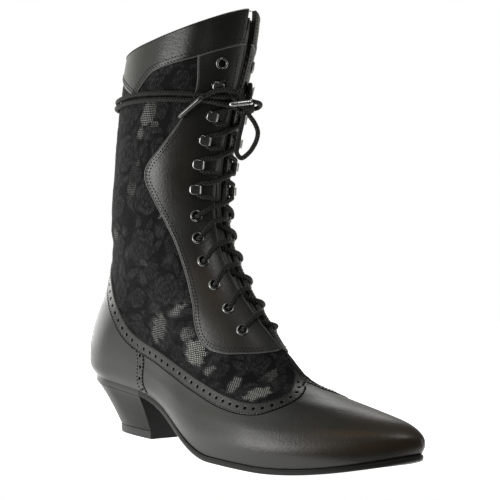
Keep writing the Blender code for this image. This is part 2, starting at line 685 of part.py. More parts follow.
def build_crossings():
    """The two halves of the lace over the throat, joined where they cross and by the bar at the foot."""
    foot = [tuple(lace_stop(0, 1)), over_facing(0, 0, 1, 0.0), tuple(above(1.0, LACED[0][1], FOOT_LIFT)),
            over_facing(0, 0, -1, 0.0)]
    halves = []
    for name, side, lift, start in (
        ("lace_crossings", -1, CROSSING_OFFSET, foot), ("lace_second_half", 1, -CROSSING_OFFSET, []),
    ):
        stops = smooth_route(start + crossing_route(side, lift), CROSSING_SPACING)
        halves.append(loft(name, tube_rings(stops, LACE_RADIUS, LACE_SIDES), LACE_CORD, 60))
    whole, second = halves
    second.hide_render = True
    second.display_type = "WIRE"
    join = whole.modifiers.new("second half", "BOOLEAN")
    join.operation = "UNION"
    join.solver = "EXACT"
    join.object = second


def build_turn(name, route, knot, knot_rise):
    """A turn of the lace round the shaft, from one side of the knot to the other."""
    aside = KNOT_RADII[1] + LACE_RADIUS + GAP
    start = knot + Vector((-TURN_BACK, -aside, knot_rise))
    end = knot + Vector((-TURN_BACK, aside, knot_rise))
    round_shaft = [tuple(above(*stop)) for stop in route]
    cord(name, [tuple(start), *round_shaft, tuple(end)], LACE_RADIUS, LACE_CORD, CORD_SPACING)


def build_knot(centre):
    ball = bmesh.new()
    bmesh.ops.create_icosphere(ball, subdivisions=2, radius=1.0)
    ball.verts.ensure_lookup_table()
    points = [tuple(centre + Vector(c * r for c, r in zip(corner.co, KNOT_RADII))) for corner in ball.verts]
    faces = [[corner.index for corner in face.verts] for face in ball.faces]
    ball.free()
    return mesh_object("lace_knot", points, faces, LACE_CORD)


def build_bow():
    """The knot in front of the throat, with its loop, its two ends and their tips."""
    knot = Vector(above(1.0, KNOT_LEVEL, KNOT_LIFT))
    build_knot(knot)
    build_turn("lace_turn_upper", UPPER_TURN, knot, UPPER_TURN_RISE)
    build_turn("lace_turn_lower", LOWER_TURN, knot, LOWER_TURN_RISE)

    def from_knot(route):
        return [tuple(knot + Vector(stop)) for stop in route]

    def over_upper(route):
        return [tuple(above(*stop)) for stop in route]

    cord("lace_loop", from_knot(BOW_LOOP), LACE_RADIUS, LACE_CORD, CORD_SPACING)
    cord("lace_end_front", from_knot(FRONT_END), LACE_RADIUS, LACE_CORD, CORD_SPACING)
    cord("lace_end_outer", over_upper(OUTER_END), LACE_RADIUS, LACE_CORD, CORD_SPACING)
    cord("aglet_front", from_knot(FRONT_AGLET), AGLET_RADIUS, AGLET, CORD_SPACING)
    cord("aglet_outer", over_upper(OUTER_AGLET), AGLET_RADIUS, AGLET, CORD_SPACING)


upper_wall = build_upper()
build_tongue()
build_outsole()
build_insole()
build_heel()
build_top_lift()

eyelet_places = []
SIDE_NAMES = {-1: "outer", 1: "inner"}
for side, side_name in SIDE_NAMES.items():
    for number, fastening in enumerate(FASTENINGS, start=1):
        fastening_place = seat(fastening, side)
        if fastening[0] == "eyelet":
            eyelet_places.append(fastening_place)
            build_eyelet(f"eyelet_{side_name}_{number:02d}", fastening_place)
        else:
            build_hook(f"hook_{side_name}_{number:02d}", fastening_place)
cut_eyelet_holes(upper_wall, eyelet_places)
build_crossings()
build_bow()
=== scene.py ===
"""Looks of the lace-up boot: leather panels, floral lace quarters, stitching, metal fastenings and laces.

The toe points along +X, the outer side is at -Y and the floor is z = 0. Sizes are millimetres and become
metres where each mesh is made. Places on the upper are given as angle and level of its last.
"""

import math

import bpy
import numpy as np
from mathutils import Matrix, Vector


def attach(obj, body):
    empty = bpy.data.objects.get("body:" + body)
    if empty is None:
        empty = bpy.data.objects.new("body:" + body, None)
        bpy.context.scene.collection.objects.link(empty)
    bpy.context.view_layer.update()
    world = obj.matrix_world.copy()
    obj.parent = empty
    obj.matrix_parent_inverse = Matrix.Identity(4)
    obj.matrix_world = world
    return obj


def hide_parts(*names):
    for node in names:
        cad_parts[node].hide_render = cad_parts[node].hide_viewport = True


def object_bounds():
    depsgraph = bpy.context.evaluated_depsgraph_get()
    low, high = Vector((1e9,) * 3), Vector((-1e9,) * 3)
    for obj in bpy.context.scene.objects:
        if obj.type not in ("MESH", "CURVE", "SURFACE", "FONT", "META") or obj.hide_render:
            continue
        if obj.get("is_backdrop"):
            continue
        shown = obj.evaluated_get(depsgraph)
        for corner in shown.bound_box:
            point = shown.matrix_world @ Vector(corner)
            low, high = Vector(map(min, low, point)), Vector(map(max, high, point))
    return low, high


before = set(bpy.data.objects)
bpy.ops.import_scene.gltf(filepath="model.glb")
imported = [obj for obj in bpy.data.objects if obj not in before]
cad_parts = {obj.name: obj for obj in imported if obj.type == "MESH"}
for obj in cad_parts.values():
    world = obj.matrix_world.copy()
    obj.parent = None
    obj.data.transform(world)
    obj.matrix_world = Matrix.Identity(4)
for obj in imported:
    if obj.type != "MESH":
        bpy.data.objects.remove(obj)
cad_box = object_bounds()

BODY = "root"
MM = 0.001
ORIGIN_X, ORIGIN_Y = 135.28, 0.32

# Sizes of the boot, as in its construction
SOLE_LENGTH = 270.0
HEEL_SEAT_HEIGHT = 34.0
TOE_SPRING = 20.0
SOLE_THICKNESS = 3.4
WALL = 2.0
GAP = 0.3
BREAST_X, BREAST_HEIGHT = 64.0, 29.0
BALL_START_X, BALL_END_X = 142.0, 176.0
HEEL_SEAT_POWER, WAIST_STEEPNESS, SPRING_POWER = 1.3, 1.1, 1.75
SOLE_EDGE, HEEL_EDGE_SHARE = 1.7, 0.2
HEEL_BASE_X, HEEL_BASE_LENGTH, HEEL_BASE_HALF = 64.5, 37.0, 13.2
HEEL_TAPER_POWER = 0.85
HEEL_BACK_ROUNDNESS, HEEL_SIDE_ROUNDNESS, HEEL_SPREAD = 0.75, 0.85, 0.8
LIFT_THICKNESS = 5.4

# Sections of the last from feather line to collar
BACK_X, BACK_Z, FRONT_X, FRONT_Z, HEEL_AT, HEEL_HALF, BALL_AT, BALL_HALF, NOSE = range(9)
SECTIONS = np.array([
    (8.4, 37.4, 267.0, 23.5, 0.11, 26.6, 0.645, 41.0, 1.40),
    (3.0, 43.0, 269.6, 28.8, 0.12, 29.3, 0.645, 42.3, 1.42),
    (1.4, 50.0, 267.0, 34.4, 0.13, 30.0, 0.640, 40.0, 1.46),
    (0.9, 57.0, 257.0, 39.3, 0.14, 30.2, 0.630, 35.5, 1.52),
    (1.3, 64.5, 236.0, 43.0, 0.16, 30.0, 0.610, 32.5, 1.58),
    (2.6, 72.0, 208.0, 47.0, 0.19, 29.6, 0.590, 30.5, 1.62),
    (4.8, 80.0, 183.0, 53.2, 0.23, 29.0, 0.570, 29.5, 1.66),
    (7.8, 89.0, 165.0, 65.2, 0.28, 28.5, 0.550, 28.8, 1.70),
    (11.0, 99.0, 146.0, 83.5, 0.34, 28.2, 0.540, 28.4, 1.72),
    (12.6, 111.0, 125.0, 105.0, 0.40, 28.4, 0.520, 28.4, 1.74),
    (12.6, 126.0, 108.2, 129.0, 0.42, 29.2, 0.500, 29.2, 1.76),
    (11.8, 144.0, 99.8, 153.0, 0.42, 30.6, 0.480, 30.6, 1.76),
    (12.6, 165.0, 98.4, 180.0, 0.42, 32.0, 0.480, 32.0, 1.76),
    (13.2, 190.0, 102.0, 210.0, 0.42, 33.4, 0.480, 33.4, 1.76),
    (14.5, 218.0, 109.4, 245.0, 0.42, 33.8, 0.480, 33.8, 1.76),
    (17.4, 244.5, 116.5, 281.0, 0.42, 33.6, 0.480, 33.6, 1.76),
])
COLLAR = len(SECTIONS) - 1
TOE_POWER, TOE_TURN = 1.75, 3.5
FOLLOW_LEVELS, FOLLOW_POWER = 8.0, 1.6
COLLAR_DIP, INNER_FLAP_BACK = 3.5, 5.0
WAIST_AT_INNER, WAIST_SPREAD_INNER, WAIST_PINCH_INNER = 0.40, 0.15, 0.20
WAIST_AT_OUTER, WAIST_SPREAD_OUTER, WAIST_PINCH_OUTER = 0.29, 0.10, 0.13
BALL_SKEW = 0.05
ANGLE_STEP, LEVEL_STEP = 0.02, 0.1

# Throat: half opening at levels, from its foot up
THROAT_FOOT = 7.25
THROAT = np.array([
    (THROAT_FOOT, 0.0), (8.0, 3.6), (9.0, 5.6), (9.7, 6.4), (10.5, 6.0), (11.5, 5.1), (12.4, 3.8),
    (13.4, 2.8), (14.3, 4.0), (15.0, 5.4)])
TONGUE = np.array([(6.7, 13.0), (8.0, 21.0), (14.2, 24.0), (14.75, 17.0)])
TONGUE_THICKNESS = 1.6

# Fastenings up each side of the throat: kind, level, distance from the middle plane
FASTENINGS = (
    ("eyelet", 7.76, 14.4), ("eyelet", 8.38, 15.0), ("eyelet", 9.02, 15.4), ("eyelet", 9.63, 16.0),
    ("eyelet", 10.23, 15.6), ("eyelet", 10.82, 15.0), ("hook", 11.48, 15.5), ("hook", 12.07, 15.4),
    ("hook", 12.60, 14.2), ("hook", 13.09, 13.0), ("hook", 13.64, 13.4), ("eyelet", 14.05, 13.9))
SIDE_NAMES = {-1: "outer", 1: "inner"}

# Lace; a cord is thinner where an aglet covers it
LACE_RADIUS = 1.4
AGLET_RADIUS = 1.7
THIN_SHARE = 0.6
BRAID_PITCH, BRAID_STRANDS, BRAID_RELIEF, BRAID_SIDES, BRAID_STEP = 1.9, 3.0, 0.13, 20, 0.46
KNOT_LEVEL, KNOT_LIFT = 13.3, 10.0
KNOT_RADII = (3.6, 5.4, 4.0)
TURN_BACK = 0.5
UPPER_TURN_RISE, LOWER_TURN_RISE = 2.2, -1.0
# The two turns round the shaft: angle, level, height over the upper
UPPER_TURN = (
    (-0.93, 13.47, 6.4), (-0.87, 13.46, 5.0), (-0.79, 13.49, 3.0), (-0.70, 13.57, 2.2), (-0.60, 13.65, 2.2),
    (-0.50, 13.73, 2.2), (-0.40, 13.79, 2.2), (-0.30, 13.82, 2.2), (-0.20, 13.85, 2.2), (-0.10, 13.87, 2.2),
    (0.0, 13.88, 2.2), (0.10, 13.87, 2.2), (0.20, 13.86, 2.2), (0.30, 13.84, 2.2),
    (0.40, 13.80, 2.2), (0.50, 13.74, 2.2), (0.60, 13.66, 2.2), (0.70, 13.58, 2.2), (0.79, 13.49, 3.0),
    (0.87, 13.46, 5.0), (0.93, 13.47, 6.4))
LOWER_TURN = (
    (-0.93, 13.31, 6.4), (-0.87, 13.34, 5.4), (-0.79, 13.40, 3.0), (-0.70, 13.45, 2.2), (-0.60, 13.53, 2.2),
    (-0.50, 13.60, 2.2), (-0.40, 13.65, 2.2), (-0.30, 13.68, 2.2), (-0.20, 13.71, 2.2), (-0.10, 13.73, 2.2),
    (0.0, 13.74, 2.2), (0.10, 13.73, 2.2), (0.20, 13.72, 2.2), (0.30, 13.70, 2.2),
    (0.40, 13.66, 2.2), (0.50, 13.61, 2.2), (0.60, 13.54, 2.2), (0.70, 13.46, 2.2), (0.79, 13.40, 3.0),
    (0.87, 13.34, 5.4), (0.93, 13.31, 6.4))
# The bow loop and the end in front, from the knot's middle, and the end on the outer side
BOW_LOOP = (
    (2.0, 1.6, -3.95), (5.0, 3.9, -8.4), (7.0, 5.5, -13.6), (7.2, 5.1, -18.6), (6.0, 3.8, -23.4),
    (4.0, 1.8, -28.0), (0.9, -1.2, -31.4), (-1.6, -3.3, -28.0), (-1.6, -3.2, -22.2), (-1.0, -2.3, -16.0),
    (-0.5, -1.5, -10.0), (-0.4, -0.9, -4.75))
FRONT_END = ((2.6, 7.4, 0.6), (6.4, 6.6, 2.4), (8.8, 3.0, 3.8), (8.6, -1.4, 4.3))
FRONT_AGLET = ((7.9, -3.2, 4.2), (-1.2, -12.8, 1.6))
OUTER_END = (
    (-0.94, 13.56, 11.0), (-0.90, 13.60, 9.6), (-0.86, 13.61, 8.2), (-0.82, 13.58, 7.2), (-0.785, 13.51, 6.8))
OUTER_AGLET = ((-0.765, 13.46, 6.7), (-0.685, 13.14, 2.6))

# Camera: turned from the outer side towards the toe, a little above level, rolled with the photo
CAMERA_TURN, CAMERA_RISE, CAMERA_ROLL = 42.15, 2.7, 4.35
CAMERA_DISTANCE = 1128.0
CAMERA_TARGET = (110.0, 0.0, 130.0)
SENSOR_WIDTH = 36.0
IMAGE_WIDTH = 500.0
FOCAL_PIXELS = 1775.0
TARGET_LEFT_PIXELS, TARGET_UP_PIXELS = 19.6, 3.2

# Studio: a white tent with three dim sides: direction of each, dot products with it and strengths there
WHITE, TENT_COLOUR = (1.0, 1.0, 1.0, 1.0), (1.0, 1.0, 0.93, 1.0)
TENT = (
    ((0.709, -0.705, -0.22), (0.25, 0.90), (1.08, 0.07)),
    ((0.4275, 0.045, 0.90), (0.12, 0.75), (1.0, 0.28)),
    ((0.0, 1.0, -0.1), (0.45, 0.90), (1.0, 0.40)),
)
# The floor glows more to the left: places across it and strengths there
FLOOR_GLOW = (-0.12, 0.04, 1.45, 1.05)
FLOOR_REACH = {"left": 1.2, "right": 0.90, "behind": 1.2, "before": 0.098}
# Lamps: name, place, width, height and watts; all of them face the middle of the boot
LAMP_TARGET = (0.0, 0.0, 0.13)
LAMPS = (
    ("heel_side", (-1.20, 0.05, 0.12), 1.0, 0.26, 2.3),
    ("left_near", (-0.17, -0.39, 0.12), 0.14, 0.24, 0.42),
    ("outer_low", (-0.305, -1.067, 0.10), 0.42, 0.25, 1.7),
    ("back_high", (-0.62, 0.72, 0.95), 0.45, 0.4, 1.2),
    ("toe_spark", (0.637, -0.58, 0.95), 0.3, 0.3, 1.3),
    ("throat_side", (1.02, 0.42, 0.30), 0.16, 0.5, 1.0),
)

# Heights of the layers over the upper's outside
VAMP_RISE = 0.35
STRIP_RISE = 0.62
FACING_RISE = 0.75
COLLAR_RISE = 0.95
SKIRT_DEPTH = 1.9
EDGE_ROUND = 1.0
EDGE_DROP = 0.5

# Panel edges on the upper: angle and level on the outer side; the inner side mirrors them.
# The facing's rear edge has with each place the level of the throat's edge across from it.
FACING_EDGE = (
    (-0.700, 14.60, 14.60), (-0.712, 14.22, 14.22), (-0.735, 13.58, 13.58), (-0.693, 13.09, 13.10),
    (-0.608, 12.52, 12.60), (-0.548, 12.16, 12.20), (-0.540, 11.82, 11.85), (-0.588, 11.28, 11.30),
    (-0.642, 10.65, 10.70), (-0.675, 9.96, 10.05), (-0.673, 9.13, 9.30), (-0.650, 8.35, 8.70),
    (-0.625, 7.67, 8.25), (-0.617, 7.05, 7.98), (-0.634, 6.70, 7.82), (-0.680, 6.68, 7.68),
    (-0.755, 6.90, 7.54), (-0.855, 7.13, 7.42), (-0.955, 7.29, 7.33))
COLLAR_EDGE = (
    (-1.0, 14.36), (-0.945, 14.34), (-0.80, 14.28), (-0.708, 14.24), (-0.60, 14.22), (-0.532, 14.20),
    (-0.490, 14.15), (-0.452, 13.99), (-0.425, 13.83), (-0.408, 13.79), (-0.385, 13.86), (-0.232, 14.30),
    (-0.10, 14.50), (0.0, 14.56))
TOPLINE = (
    (0.0, 9.75), (-0.10, 9.30), (-0.205, 8.38), (-0.275, 7.50), (-0.32, 6.72), (-0.355, 5.85), (-0.392, 5.50),
    (-0.442, 5.36), (-0.488, 4.95), (-0.520, 4.36), (-0.555, 3.86), (-0.595, 3.68), (-0.635, 3.81),
    (-0.682, 4.22), (-0.758, 4.86), (-0.832, 5.56), (-0.905, 6.14), (-0.945, 6.40), (-0.957, 6.56))
# The strip's peak lies a little to the outer side of the ridge, and its lower edge closes under it
NOSE_AT, NOSE_FROM, NOSE_RUN = -0.957, 0.60, 15.0
NOSE_LOW = ((-0.885, 5.66), (-0.925, 5.88), (-0.948, 5.98))
COUNTER_SEAM = ((-0.362, 5.25), (-0.345, 3.6), (-0.331, 2.05), (-0.325, 0.02))
COUNTER_SEAM_HALF = (3.3, 2.9)
STRIP_WIDTH = 8.4
HOLE_RADIUS, HOLE_PITCH, HOLE_DEPTH = 1.1, 6.1, 0.22
SEAM_HOLE_PITCH = 7.4
STITCH_PITCH, STITCH_LENGTH, STITCH_RADIUS = 2.3, 1.7, 0.26

# Soft folds in the upper: angle, level, half length and half width in mm, lean in degrees, rise in mm
COLLAR_FOLDS = (
    (-0.655, 14.62, 15.0, 5.5, 84.0, 0.28),
    (-0.715, 14.66, 15.0, 4.0, 86.0, -0.26),
    (-0.590, 14.62, 14.0, 5.0, 80.0, -0.18),
    (-0.770, 14.60, 13.0, 5.0, 88.0, 0.15),
    (0.640, 14.62, 15.0, 5.0, 95.0, -0.3),
    (0.700, 14.62, 15.0, 5.0, 95.0, 0.25),
)
SHAFT_FOLDS = (
    (-0.18, 9.9, 16.0, 4.2, 16.0, -0.7),
    (-0.20, 10.4, 18.0, 4.6, 14.0, 0.6),
    (-0.44, 8.6, 20.0, 5.0, -26.0, -0.6),
    (-0.46, 9.2, 18.0, 5.0, -24.0, 0.5),
    (-0.40, 11.5, 22.0, 6.0, -62.0, -0.4),
)
MIRRORED_FOLDS = tuple((-at, *sizes, -lean, rise) for at, *sizes, lean, rise in SHAFT_FOLDS)
FOLDS = COLLAR_FOLDS + SHAFT_FOLDS + MIRRORED_FOLDS
# About how many millimetres one unit of angle and one level are
ANGLE_MM, LEVEL_MM = 105.0, 16.0
SURFACE_SCALE = np.array([ANGLE_MM, LEVEL_MM])


# The last


def smooth(before, start, end, after, share):
    """A smooth curve from start to end that follows the points before and after them."""
    bend = 2 * before - 5 * start + 4 * end - after
    twist = 3 * (start - end) + after - before
    return start + 0.5 * share * (end - before + share * (bend + share * twist))


def section(level):
    """The section table at a level between its rows, on a smooth curve through them."""
    level = np.clip(np.asarray(level, float), 0, COLLAR)
    low = np.minimum(level.astype(int), COLLAR - 1)
    rows = (SECTIONS[np.clip(low + step, 0, COLLAR)] for step in (-1, 0, 1, 2))
    return smooth(*rows, (level - low)[..., None])


def sole_underside(x):
    """Height of the sole's lower face above the floor at a distance from the heel's back."""
    x = np.asarray(x, float)
    drop = HEEL_SEAT_HEIGHT - BREAST_HEIGHT
    seat_height = HEEL_SEAT_HEIGHT - drop * np.clip(x / BREAST_X, 0, 1) ** HEEL_SEAT_POWER
    waist_length = BALL_START_X - BREAST_X
    s = np.clip((x - BREAST_X) / waist_length, 0, 1)
    slope = -WAIST_STEEPNESS * HEEL_SEAT_POWER * drop / BREAST_X * waist_length
    waist = BREAST_HEIGHT * (2 * s**3 - 3 * s**2 + 1) + slope * (s**3 - 2 * s**2 + s)
    toe = TOE_SPRING * np.clip((x - BALL_END_X) / (SOLE_LENGTH - BALL_END_X), 0, None) ** SPRING_POWER
    return np.where(x < BREAST_X, seat_height, np.where(x < BALL_START_X, waist, toe))


def sole_upperside(x):
    return sole_underside(x) + SOLE_THICKNESS


SECTIONS[0, BACK_Z] = sole_upperside(SECTIONS[0, BACK_X]) + GAP
SECTIONS[0, FRONT_Z] = sole_upperside(SECTIONS[0, FRONT_X]) + GAP
BREAST_LENGTH_SHARE = (BREAST_X - SECTIONS[0, BACK_X]) / (SECTIONS[0, FRONT_X] - SECTIONS[0, BACK_X])
BREAST_ANGLE = math.acos(1 - 2 * BREAST_LENGTH_SHARE) / math.pi


def arch(share):
    """How far the sole's upper face lies above the straight line from heel to toe."""
    back_x, front_x = SECTIONS[0, BACK_X], SECTIONS[0, FRONT_X]
    x = back_x + (front_x - back_x) * share
    straight = sole_upperside(back_x) * (1 - share) + sole_upperside(front_x) * share
    return sole_upperside(x) - straight


def half_width(row, share, skew):
    """Half width of a section; the skew puts the inner ball ahead of the outer one."""
    heel_at, heel_half = row[..., HEEL_AT], row[..., HEEL_HALF]
    ball_at, ball_half = row[..., BALL_AT] + skew, row[..., BALL_HALF]
    behind = np.clip((heel_at - share) / heel_at, 0, 1)
    ahead = np.clip((share - ball_at) / (1 - ball_at), 0, 1)
    between = np.clip((share - heel_at) / (ball_at - heel_at), 0, 1)
    heel = heel_half * np.sqrt(1 - behind**2)
    toe = ball_half * (1 - ahead**TOE_POWER) ** (1 / row[..., NOSE])
    middle = heel_half + (ball_half - heel_half) * between**2 * (3 - 2 * between)
    return np.where(share < heel_at, heel, np.where(share > ball_at, toe, middle))


def last_point(angle, level):
    """A point of the outside: angle 0 is the back, -1 the front by the outer side, +1 by the inner."""
    angle, level = np.broadcast_arrays(np.asarray(angle, float), np.asarray(level, float))
    row = section(level)
    share = 0.5 - 0.5 * np.cos(math.pi * np.abs(angle))
    follow = np.clip(1 - level / FOLLOW_LEVELS, 0, 1) ** FOLLOW_POWER
    inner_pinch = WAIST_PINCH_INNER * np.exp(-(((share - WAIST_AT_INNER) / WAIST_SPREAD_INNER) ** 2))
    outer_pinch = WAIST_PINCH_OUTER * np.exp(-(((share - WAIST_AT_OUTER) / WAIST_SPREAD_OUTER) ** 2))
    skew = follow * BALL_SKEW * np.sign(angle)
    width = half_width(row, share, skew) * (1 - follow * np.where(angle > 0, inner_pinch, outer_pinch))
    collar = np.clip(level - (COLLAR - 1), 0, 1) ** 2
    dip = COLLAR_DIP * collar * 4 * share * (1 - share)
    flap = np.where(angle > 0, INNER_FLAP_BACK, 0.0) * collar * share**4
    x = row[..., BACK_X] + (row[..., FRONT_X] - row[..., BACK_X]) * share - flap
    y = np.sign(angle) * width + follow * TOE_TURN * share**4
    z = row[..., BACK_Z] + (row[..., FRONT_Z] - row[..., BACK_Z]) * share + follow * arch(share) - dip
    return np.stack([x, y, z], -1)


def wrapped(angle):
    """Angles past the front continue down the other side."""
    angle = np.asarray(angle, float)
    return np.where(angle > 1, angle - 2, np.where(angle < -1, angle + 2, angle))


def last_normal(angle, level):
    angle, level = np.broadcast_arrays(np.asarray(angle, float), np.asarray(level, float))
    along = last_point(wrapped(angle + ANGLE_STEP), level) - last_point(wrapped(angle - ANGLE_STEP), level)
    over, under = np.clip(level + LEVEL_STEP, 0, COLLAR), np.clip(level - LEVEL_STEP, 0, COLLAR)
    normal = np.cross(last_point(angle, over) - last_point(angle, under), along)
    return normal / np.linalg.norm(normal, axis=-1, keepdims=True)


def above(angle, level, height):
    """A point at a height over the upper's outside; a negative height lies in the wall or inside it."""
    angle = wrapped(angle)
    return last_point(angle, level) + last_normal(angle, level) * np.asarray(height, float)[..., None]


HALVINGS = 30


def front_angle(level, reach):
    """The angle at which a section is this far from the middle plane, measured on its front part."""
    level, reach = np.broadcast_arrays(np.asarray(level, float), np.asarray(reach, float))
    near, far = np.full(level.shape, 0.5), np.ones(level.shape)
    for _ in range(HALVINGS):
        middle = 0.5 * (near + far)
        wide = np.abs(last_point(-middle, level)[..., 1]) > reach
        near = np.where(wide, middle, near)
        far = np.where(wide, far, middle)
    return np.where(reach > 0, 0.5 * (near + far), 1.0)


def throat_half(level):
    return np.interp(level, THROAT[:, 0], THROAT[:, 1])


EDGE_LEVELS = np.linspace(THROAT_FOOT, COLLAR, 200)
EDGE_ANGLES = front_angle(EDGE_LEVELS, throat_half(EDGE_LEVELS))


def throat_edge(level):
    """Angle of the throat's edge on the inner side, and 1 below the throat's foot."""
    return np.where(np.asarray(level) <= THROAT_FOOT, 1.0, np.interp(level, EDGE_LEVELS, EDGE_ANGLES))


def leaned(across, up, turn):
    """Distances along and beside a line that is turned from the across direction."""
    along = across * math.cos(turn) + up * math.sin(turn)
    aside = -across * math.sin(turn) + up * math.cos(turn)
    return along, aside


def folds(angle, level):
    """Rise of the soft folds at places on the upper."""
    rise = np.zeros(np.broadcast(angle, level).shape)
    for at, at_level, half_long, half_wide, lean, height in FOLDS:
        along, aside = leaned((angle - at) * ANGLE_MM, (level - at_level) * LEVEL_MM, math.radians(lean))
        rise = rise + height * np.exp(-((along / half_long) ** 2) - (aside / half_wide) ** 2)
    return rise


# Paths on the upper


CURVE_STEPS = 24
FINE_SPACING = 0.5
SMALL_STEP, STEADY = 0.002, 1e-6


def distances(places):
    """How far each place is along the line from the first one."""
    return np.concatenate([[0], np.cumsum(np.linalg.norm(np.diff(places, axis=0), axis=1))])


def read_at(stops, run, rows):
    """Rows of values read between their distances run, column by column."""
    return np.stack([np.interp(stops, run, column) for column in rows.T], -1)


def respaced(rows, places, spacing):
    """Rows read again at an even spacing along the line of their places, and the distances run."""
    run = distances(places)
    stops = np.linspace(0, run[-1], max(2, int(round(run[-1] / spacing)) + 1))
    return read_at(stops, run, rows), stops


def smooth_route(points, spacing):
    """Points at a spacing along a smooth curve through the route's own points."""
    route = np.asarray(points, float)
    padded = np.vstack([2 * route[0] - route[1], route, 2 * route[-1] - route[-2]])
    share = np.linspace(0, 1, CURVE_STEPS, endpoint=False)[:, None]
    fine = [smooth(*padded[start:start + 4], share) for start in range(len(route) - 1)]
    fine = np.vstack([*fine, route[-1:]])
    return respaced(fine, fine, spacing)[0]


def surface_route(points):
    """Angles and levels close together along a smooth line on the upper."""
    return smooth_route(np.asarray(points, float) * SURFACE_SCALE, FINE_SPACING) / SURFACE_SCALE


def surface_path(points, spacing):
    """Angles and levels at an even spacing along a smooth line on the upper, and the distances run."""
    fine = surface_route(points)
    return respaced(fine, last_point(wrapped(fine[:, 0]), fine[:, 1]), spacing)


def moved_aside(path, distance):
    """A path moved by a small distance over the surface, at a right angle to its run."""
    angle, level = path.T
    tangent = np.gradient(last_point(wrapped(angle), level), axis=0)
    side = np.cross(last_normal(wrapped(angle), level), tangent)
    side /= np.linalg.norm(side, axis=1, keepdims=True)
    ahead, behind = (last_point(wrapped(angle + step), level) for step in (SMALL_STEP, -SMALL_STEP))
    over, under = (last_point(angle, level + step) for step in (SMALL_STEP, -SMALL_STEP))
    by_angle, by_level = (ahead - behind) / (2 * SMALL_STEP), (over - under) / (2 * SMALL_STEP)
    angle_square, level_square = (by_angle**2).sum(1), (by_level**2).sum(1)
    shared = (by_angle * by_level).sum(1)
    to_angle, to_level = (by_angle * side).sum(1), (by_level * side).sum(1)
    spread = (1 + STEADY) * angle_square * level_square - shared**2
    angle_move = (level_square * to_angle - shared * to_level) / spread
    level_move = (angle_square * to_level - shared * to_angle) / spread
    return path + np.column_stack([angle_move, level_move]) * distance[:, None]


def beside(path, distance, step=1.0):
    """A path on the outer side moved over the surface, up for a distance over 0 if it runs to the toe."""
    path = np.array(path, float)
    distance = np.broadcast_to(np.asarray(distance, float), len(path))
    parts = max(1, math.ceil(np.abs(distance).max() / step))
    for _ in range(parts):
        path = moved_aside(path, distance / parts)
        path[:, 1] = np.clip(path[:, 1], 0, COLLAR)
    return path


EDGE_STATIONS = np.array([0.0, 0.12, 0.32, 0.6, 1.0]) * EDGE_ROUND


def stations(width, count):
    """Distances across a panel: close together by both edges, and even between them."""
    inner = np.linspace(0, 1, count + 2)[1:-1]
    width = np.asarray(width, float)[..., None]
    between = EDGE_ROUND + (width - 2 * EDGE_ROUND) * inner
    near = np.broadcast_to(EDGE_STATIONS, width.shape[:-1] + EDGE_STATIONS.shape)
    return np.concatenate([near, between, width - near[..., ::-1]], -1)


def rounded(distance):
    """Drop of a panel's surface by its edge."""
    short = 1 - np.clip(np.asarray(distance) / EDGE_ROUND, 0, 1)
    return EDGE_DROP * (1 - np.sqrt(1 - short**2))


# Meshes


def placed(points):
    return (np.asarray(points, float).reshape(-1, 3) - (ORIGIN_X, ORIGIN_Y, 0.0)) * MM


def grid_faces(rows, columns, closed=False, flip=False):
    """Quads of a grid of points, row by row."""
    row = np.arange(rows - 1)[:, None] * columns
    column = np.arange(columns if closed else columns - 1)[None, :]
    after = (column + 1) % columns
    corners = (row + column, row + after, row + columns + after, row + columns + column)
    quads = np.stack(np.broadcast_arrays(*corners), -1).reshape(-1, 4)
    return quads[:, ::-1] if flip else quads


def capped(rings):
    """Faces of a stack of rings whose second half mirrors the first, closed at both ends by strips."""
    count, size = len(rings), len(rings[0])
    half = size // 2
    step = np.arange(half - 1)
    faces = [grid_faces(count, size, closed=True)]
    for base in (0, (count - 1) * size):
        faces.append(base + np.stack([step, step + 1, size - 2 - step, size - 1 - step], 1))
        if size % 2:
            faces.append(base + np.array([(half - 1, half, half + 1)]))
    return faces


def set_values(mesh, values):
    """Numbers or vectors for each point, which the materials read by name."""
    for key, value in values.items():
        value = np.asarray(value, np.float32)
        kind, field = ("FLOAT_VECTOR", "vector") if value.shape[-1:] == (3,) else ("FLOAT", "value")
        mesh.attributes.new(key, kind, "POINT").data.foreach_set(field, value.reshape(-1))


def piece(name, parts, look, values=None, stands_for=()):
    """One mesh object from parts of points and faces, riding on the boot's body."""
    points = np.concatenate([np.asarray(part[0], float).reshape(-1, 3) for part in parts])
    faces, start = [], 0
    for part_points, part_faces in parts:
        for block in (part_faces if isinstance(part_faces, list) else [part_faces]):
            faces.extend((np.asarray(block) + start).tolist())
        start += len(np.asarray(part_points).reshape(-1, 3))
    mesh = bpy.data.meshes.new(name)
    mesh.from_pydata(placed(points).tolist(), [], faces)
    set_values(mesh, values or {})
    mesh.shade_smooth()
    mesh.materials.append(look)
    made = bpy.data.objects.new(name, mesh)
    bpy.context.scene.collection.objects.link(made)
    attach(made, BODY)
    if stands_for:
        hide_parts(*stands_for)
    return made


def full_turn(count):
    return np.linspace(0, 2 * math.pi, count, endpoint=False)


# A tube's domed ends: how far two more rings stand out and how wide they are, and the tip beyond them
DOME_REACH, DOME_SIZE, DOME_TIP = np.array((0.9, 0.5)), np.array((0.42, 0.86)), 0.1
FIRST_SPOKE = (0.3, 0.5, 0.8)
BEAD_SIDES = 8


